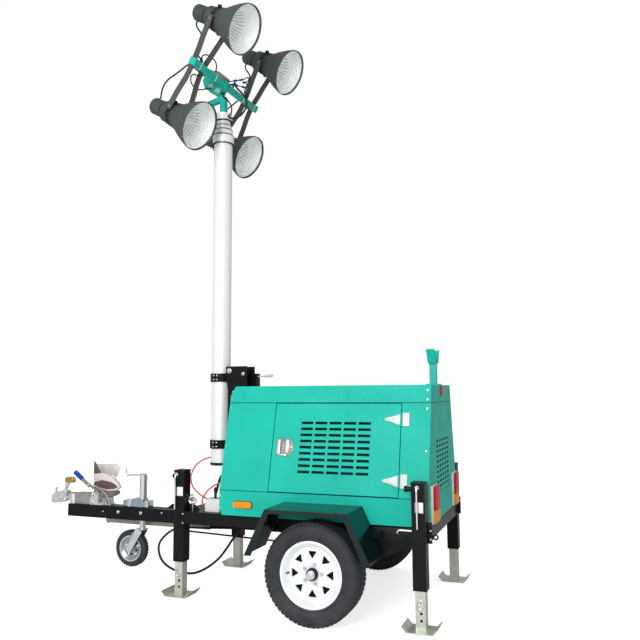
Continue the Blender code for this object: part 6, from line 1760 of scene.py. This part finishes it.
CHOCK_BACK = (
    (-2.2494, 0.7826), (-2.2288, 0.7345), (-2.1843, 0.7158), (-2.0966, 0.6938), (-2.0783, 0.6995),
    (-2.0372, 0.681), (-2.0005, 0.7622), (-2.0321, 0.7932),
)
CHOCK_PEAK_SHADE = (
    (-2.1705, 0.718), (-2.0895, 0.725), (-2.1019, 0.732), (-2.147, 0.7996), (-2.168, 0.822),
    (-2.1705, 0.822),
)
CHOCK_CURVE = (
    (-2.1705, 0.6213), (-2.0975, 0.6045), (-2.0244, 0.5882), (-1.9528, 0.5962), (-1.9155, 0.622),
    (-1.94, 0.656), (-1.9797, 0.6924), (-2.035, 0.714), (-2.0895, 0.7275), (-2.1705, 0.7198),
)
CHOCK_HOLLOW_SHADE = (
    (-2.165, 0.633), (-2.1, 0.613), (-2.04, 0.604), (-1.97, 0.608), (-1.933, 0.6235), (-1.96, 0.644),
    (-2.0027, 0.6622), (-2.0877, 0.6735), (-2.156, 0.6562),
)
CHOCK_FOOT = (
    (-2.1705, 0.62), (-2.1705, 0.564), (-2.0539, 0.5674), (-2.0227, 0.538), (-1.9814, 0.5561),
    (-1.9762, 0.5806), (-2.03, 0.59), (-2.0851, 0.602),
)


def build_chock():
    """The folded sheet chock on its holder, with painted shade inside its fold."""
    back = profile_slab(CHOCK_BACK, 0.118, 0.124, 0.001)
    piece("chock_back", [back], "chock_sheet", replaces=("wheel_chock",))
    piece("chock_curve", [profile_slab(CHOCK_CURVE, 0.002, 0.034, 0.002)], "chock_sheet")
    # Painted shade: dark patches in the hollow and above the curve stand for the shade inside the folded
    # sheet.
    shade_patch = profile_slab(CHOCK_HOLLOW_SHADE, -0.0005, 0.003, 0.0003)
    piece("chock_hollow_shade", [shade_patch, profile_slab(CHOCK_PEAK_SHADE, 0.003, 0.008, 0.001)], "chock_shade")
    piece("chock_foot", [profile_slab(CHOCK_FOOT, 0.012, 0.096, 0.001)], "latch_shade")
    holder = [
        box_from((-2.04, 0.02, 0.4837), (-2.026, 0.08, 0.56), 0.001),
        box_from((-2.062, -0.02, 0.4837), (-2.004, 0.085, 0.49), 0.001),
    ]
    piece("chock_holder", holder, "zinc_plate")


RAIL_BOLTS = (
    # kind, places along the drawbar
    ("small_nut", ((-2.028, 0.44),)), ("frame_bolt", ((-1.886, 0.444), (-1.678, 0.446))),
)


def build_drawbar_fittings():
    """Everything on the drawbar, from its side bolts to the coupling."""
    for number, (kind, places) in enumerate(RAIL_BOLTS):
        spots = [(at(x, side * 0.0503, z), (0, side, 0)) for x, z in places for side in (-1, 1)]
        fasteners(f"drawbar_bolts_{number}", kind, spots)
    build_jockey_wheel()
    build_coupling()
    build_brake_gear()
    build_chock()


# Stage

CAMERA_PLACE = (1.4923, -4.5438, 1.3612)
CAMERA_YAW = 0.3591
CAMERA_PITCH = radians(6.0962)
CAMERA_ROLL = radians(-0.3721)
CAMERA_LENS = 675.7176 / 640 * 36


def build_camera():
    reach = cos(CAMERA_PITCH)
    ahead = Vector((-sin(CAMERA_YAW) * reach, cos(CAMERA_YAW) * reach, sin(CAMERA_PITCH)))
    level = Vector((cos(CAMERA_YAW), sin(CAMERA_YAW), 0))
    rise = level.cross(ahead)
    right = cos(CAMERA_ROLL) * level + sin(CAMERA_ROLL) * rise
    up = cos(CAMERA_ROLL) * rise - sin(CAMERA_ROLL) * level
    data = bpy.data.cameras.new("photo_camera")
    data.lens = CAMERA_LENS
    data.sensor_width = 36
    data.clip_end = 100
    camera = link("photo_camera", data)
    matrix = Matrix((right, up, -ahead)).transposed().to_4x4()
    matrix.translation = at(*CAMERA_PLACE)
    camera.matrix_world = matrix
    bpy.context.scene.camera = camera


def background_rays(tree):
    """1 for rays that show the background: from the camera and through glass."""
    path = add_node(tree, "ShaderNodeLightPath").outputs
    return maths(tree, "MAXIMUM", path["Is Camera Ray"], path["Is Transmission Ray"])


SOFT_LIGHT = 0.56
BACKGROUND_WHITE = 1.02
FLOOR_GLOW = 0.72
FLOOR_REACH = 30.0
KEY_PLACE = Vector((0.8, -6.8, 3.4))
KEY_TARGET = Vector((0.6, 0, 1.1))


def build_world():
    """Soft white light from all round, and a white background behind the tower."""
    world = bpy.data.worlds.new("studio")
    bpy.context.scene.world = world
    world.use_nodes = True
    tree = world.node_tree
    background = tree.nodes["Background"]
    background.inputs["Color"].default_value = (1, 1, 1, 1)
    level = add_node(tree, "ShaderNodeMapRange", {
        "Value": background_rays(tree), "To Min": SOFT_LIGHT, "To Max": BACKGROUND_WHITE,
    })
    tree.links.new(level.outputs["Result"], background.inputs["Strength"])


def build_floor():
    """A white floor that only shows the tower's shadow."""
    reach = FLOOR_REACH
    floor = bpy.data.meshes.new("floor")
    corners = [(-reach, -reach, 0), (reach, -reach, 0), (reach, reach, 0), (-reach, reach, 0)]
    floor.from_pydata(corners, [], [(0, 1, 2, 3)])
    material = bpy.data.materials.new("floor_white")
    material.use_nodes = True
    tree = material.node_tree
    shader = tree.nodes["Principled BSDF"]
    shader.inputs["Base Color"].default_value = (0.82, 0.82, 0.82, 1.0)
    shader.inputs["Roughness"].default_value = 1.0
    shader.inputs["Specular IOR Level"].default_value = 0.0
    glow = add_node(tree, "ShaderNodeEmission", {
        "Color": (FLOOR_GLOW, FLOOR_GLOW, FLOOR_GLOW, 1.0), "Strength": background_rays(tree),
    })
    total = add_node(tree, "ShaderNodeAddShader", {0: shader.outputs[0], 1: glow.outputs[0]})
    tree.links.new(total.outputs[0], tree.nodes["Material Output"].inputs["Surface"])
    floor.materials.append(material)
    link("floor", floor)


def build_stage():
    """The world, the floor and one large soft lamp at the left."""
    bpy.context.scene.view_settings.view_transform = "Standard"
    build_world()
    build_floor()
    data = bpy.data.lights.new("key_left", "AREA")
    data.energy = 330
    data.size = 3.6
    lamp = link("key_left", data)
    lamp.location = KEY_PLACE
    lamp.rotation_mode = "QUATERNION"
    lamp.rotation_quaternion = (KEY_TARGET - KEY_PLACE).to_track_quat("-Z", "Y")


# Add-on


class LightTowerColours(bpy.types.PropertyGroup):
    """Colours that a user would change."""

    canopy: bpy.props.FloatVectorProperty(
        name="Canopy", description="Paint of the canopy and the lamp bar", default=(0.014, 0.515, 0.402),
        size=3, min=0, max=1, subtype="COLOR",
    )
    chassis: bpy.props.FloatVectorProperty(
        name="Chassis", description="Paint of the chassis, legs and drawbar", default=(0.006, 0.0065, 0.007),
        size=3, min=0, max=1, subtype="COLOR",
    )
    lamps: bpy.props.FloatVectorProperty(
        name="Floodlights", description="Coating of the floodlights' shells", default=(0.055, 0.068, 0.068),
        size=3, min=0, max=1, subtype="COLOR",
    )
    hose: bpy.props.FloatVectorProperty(
        name="Air hoses", description="Colour of the two air hoses", default=(0.8, 0.12, 0.08),
        size=3, min=0, max=1, subtype="COLOR",
    )


class LightTowerSizes(bpy.types.PropertyGroup):
    """Sizes that a user would change."""

    bolt_radius: bpy.props.FloatProperty(
        name="Canopy bolt radius", description="Radius of the bolt heads along the canopy's edges",
        default=0.0038, min=0.002, max=0.008, precision=4, unit="LENGTH",
    )


class PieceOperator:
    """Shared by the operators: runs the named builder and reports success."""

    bl_options = {"REGISTER", "UNDO"}

    def execute(self, context):
        self.build(context)
        return {"FINISHED"}


class LIGHTTOWER_OT_camera(PieceOperator, bpy.types.Operator):
    """Place the camera as in the photograph"""

    bl_idname = "light_tower.camera"
    bl_label = "Camera"

    def build(self, context):
        build_camera()


class LIGHTTOWER_OT_finishes(PieceOperator, bpy.types.Operator):
    """Make the finishes and give them to the carried-over parts"""

    bl_idname = "light_tower.finishes"
    bl_label = "Finishes"

    def build(self, context):
        build_finishes(context.scene.light_tower_colours)
        dress_nodes()


class LIGHTTOWER_OT_cords(PieceOperator, bpy.types.Operator):
    """Lay the hoses, cables and lamp leads"""

    bl_idname = "light_tower.cords"
    bl_label = "Cords"

    def build(self, context):
        build_cords()


class LIGHTTOWER_OT_wheels(PieceOperator, bpy.types.Operator):
    """Build the road tyres, rims, hubs and nuts"""

    bl_idname = "light_tower.wheels"
    bl_label = "Road wheels"

    def build(self, context):
        for label, side in SIDES:
            build_tyre(label, side)
            build_rim(label, side)


class LIGHTTOWER_OT_canopy(PieceOperator, bpy.types.Operator):
    """Build the canopy's bolts, hinges, latches, marker lamps and tail lights"""

    bl_idname = "light_tower.canopy"
    bl_label = "Canopy trim"

    def build(self, context):
        build_canopy_trim(context.scene.light_tower_sizes)
        build_tail_lights()


class LIGHTTOWER_OT_legs(PieceOperator, bpy.types.Operator):
    """Build the cranks, caps, labels and bolts of the support legs"""

    bl_idname = "light_tower.legs"
    bl_label = "Support legs"

    def build(self, context):
        build_legs()


class LIGHTTOWER_OT_mast(PieceOperator, bpy.types.Operator):
    """Build the mast's foot, clamps, bands and bolts"""

    bl_idname = "light_tower.mast"
    bl_label = "Mast fittings"

    def build(self, context):
        build_mast_fittings()


class LIGHTTOWER_OT_lamps(PieceOperator, bpy.types.Operator):
    """Build the floodlights and the fittings of their bar"""

    bl_idname = "light_tower.lamps"
    bl_label = "Floodlights"

    def build(self, context):
        build_lamps()
        build_lamp_head()


class LIGHTTOWER_OT_drawbar(PieceOperator, bpy.types.Operator):
    """Build the jockey wheel, brake grip, coupling latch and bolts of the drawbar"""

    bl_idname = "light_tower.drawbar"
    bl_label = "Drawbar fittings"

    def build(self, context):
        build_drawbar_fittings()


class LIGHTTOWER_OT_stage(PieceOperator, bpy.types.Operator):
    """Build the floor, the background and the lights"""

    bl_idname = "light_tower.stage"
    bl_label = "Stage"

    def build(self, context):
        build_stage()


OPERATORS = (
    LIGHTTOWER_OT_camera,
    LIGHTTOWER_OT_finishes,
    LIGHTTOWER_OT_cords,
    LIGHTTOWER_OT_wheels,
    LIGHTTOWER_OT_canopy,
    LIGHTTOWER_OT_legs,
    LIGHTTOWER_OT_mast,
    LIGHTTOWER_OT_lamps,
    LIGHTTOWER_OT_drawbar,
    LIGHTTOWER_OT_stage,
)


class LIGHTTOWER_PT_pieces(bpy.types.Panel):
    """Lists the tower's pieces, sizes and colours"""

    bl_idname = "LIGHTTOWER_PT_pieces"
    bl_label = "Light Tower"
    bl_space_type = "VIEW_3D"
    bl_region_type = "UI"
    bl_category = "Light Tower"

    def draw(self, context):
        layout = self.layout
        for group in (context.scene.light_tower_sizes, context.scene.light_tower_colours):
            for name in group.__annotations__:
                layout.prop(group, name)
        for operator in OPERATORS:
            layout.operator(operator.bl_idname)


CLASSES = (LightTowerColours, LightTowerSizes, *OPERATORS, LIGHTTOWER_PT_pieces)


def register():
    for item in CLASSES:
        bpy.utils.register_class(item)
    bpy.types.Scene.light_tower_sizes = bpy.props.PointerProperty(type=LightTowerSizes)
    bpy.types.Scene.light_tower_colours = bpy.props.PointerProperty(type=LightTowerColours)


def unregister():
    del bpy.types.Scene.light_tower_colours
    del bpy.types.Scene.light_tower_sizes
    for item in reversed(CLASSES):
        bpy.utils.unregister_class(item)


def main():
    register()
    bpy.ops.light_tower.camera()
    bpy.ops.light_tower.finishes()
    bpy.ops.light_tower.cords()
    bpy.ops.light_tower.wheels()
    bpy.ops.light_tower.canopy()
    bpy.ops.light_tower.legs()
    bpy.ops.light_tower.mast()
    bpy.ops.light_tower.lamps()
    bpy.ops.light_tower.drawbar()
    bpy.ops.light_tower.stage()


if __name__ == "__main__":
    main()
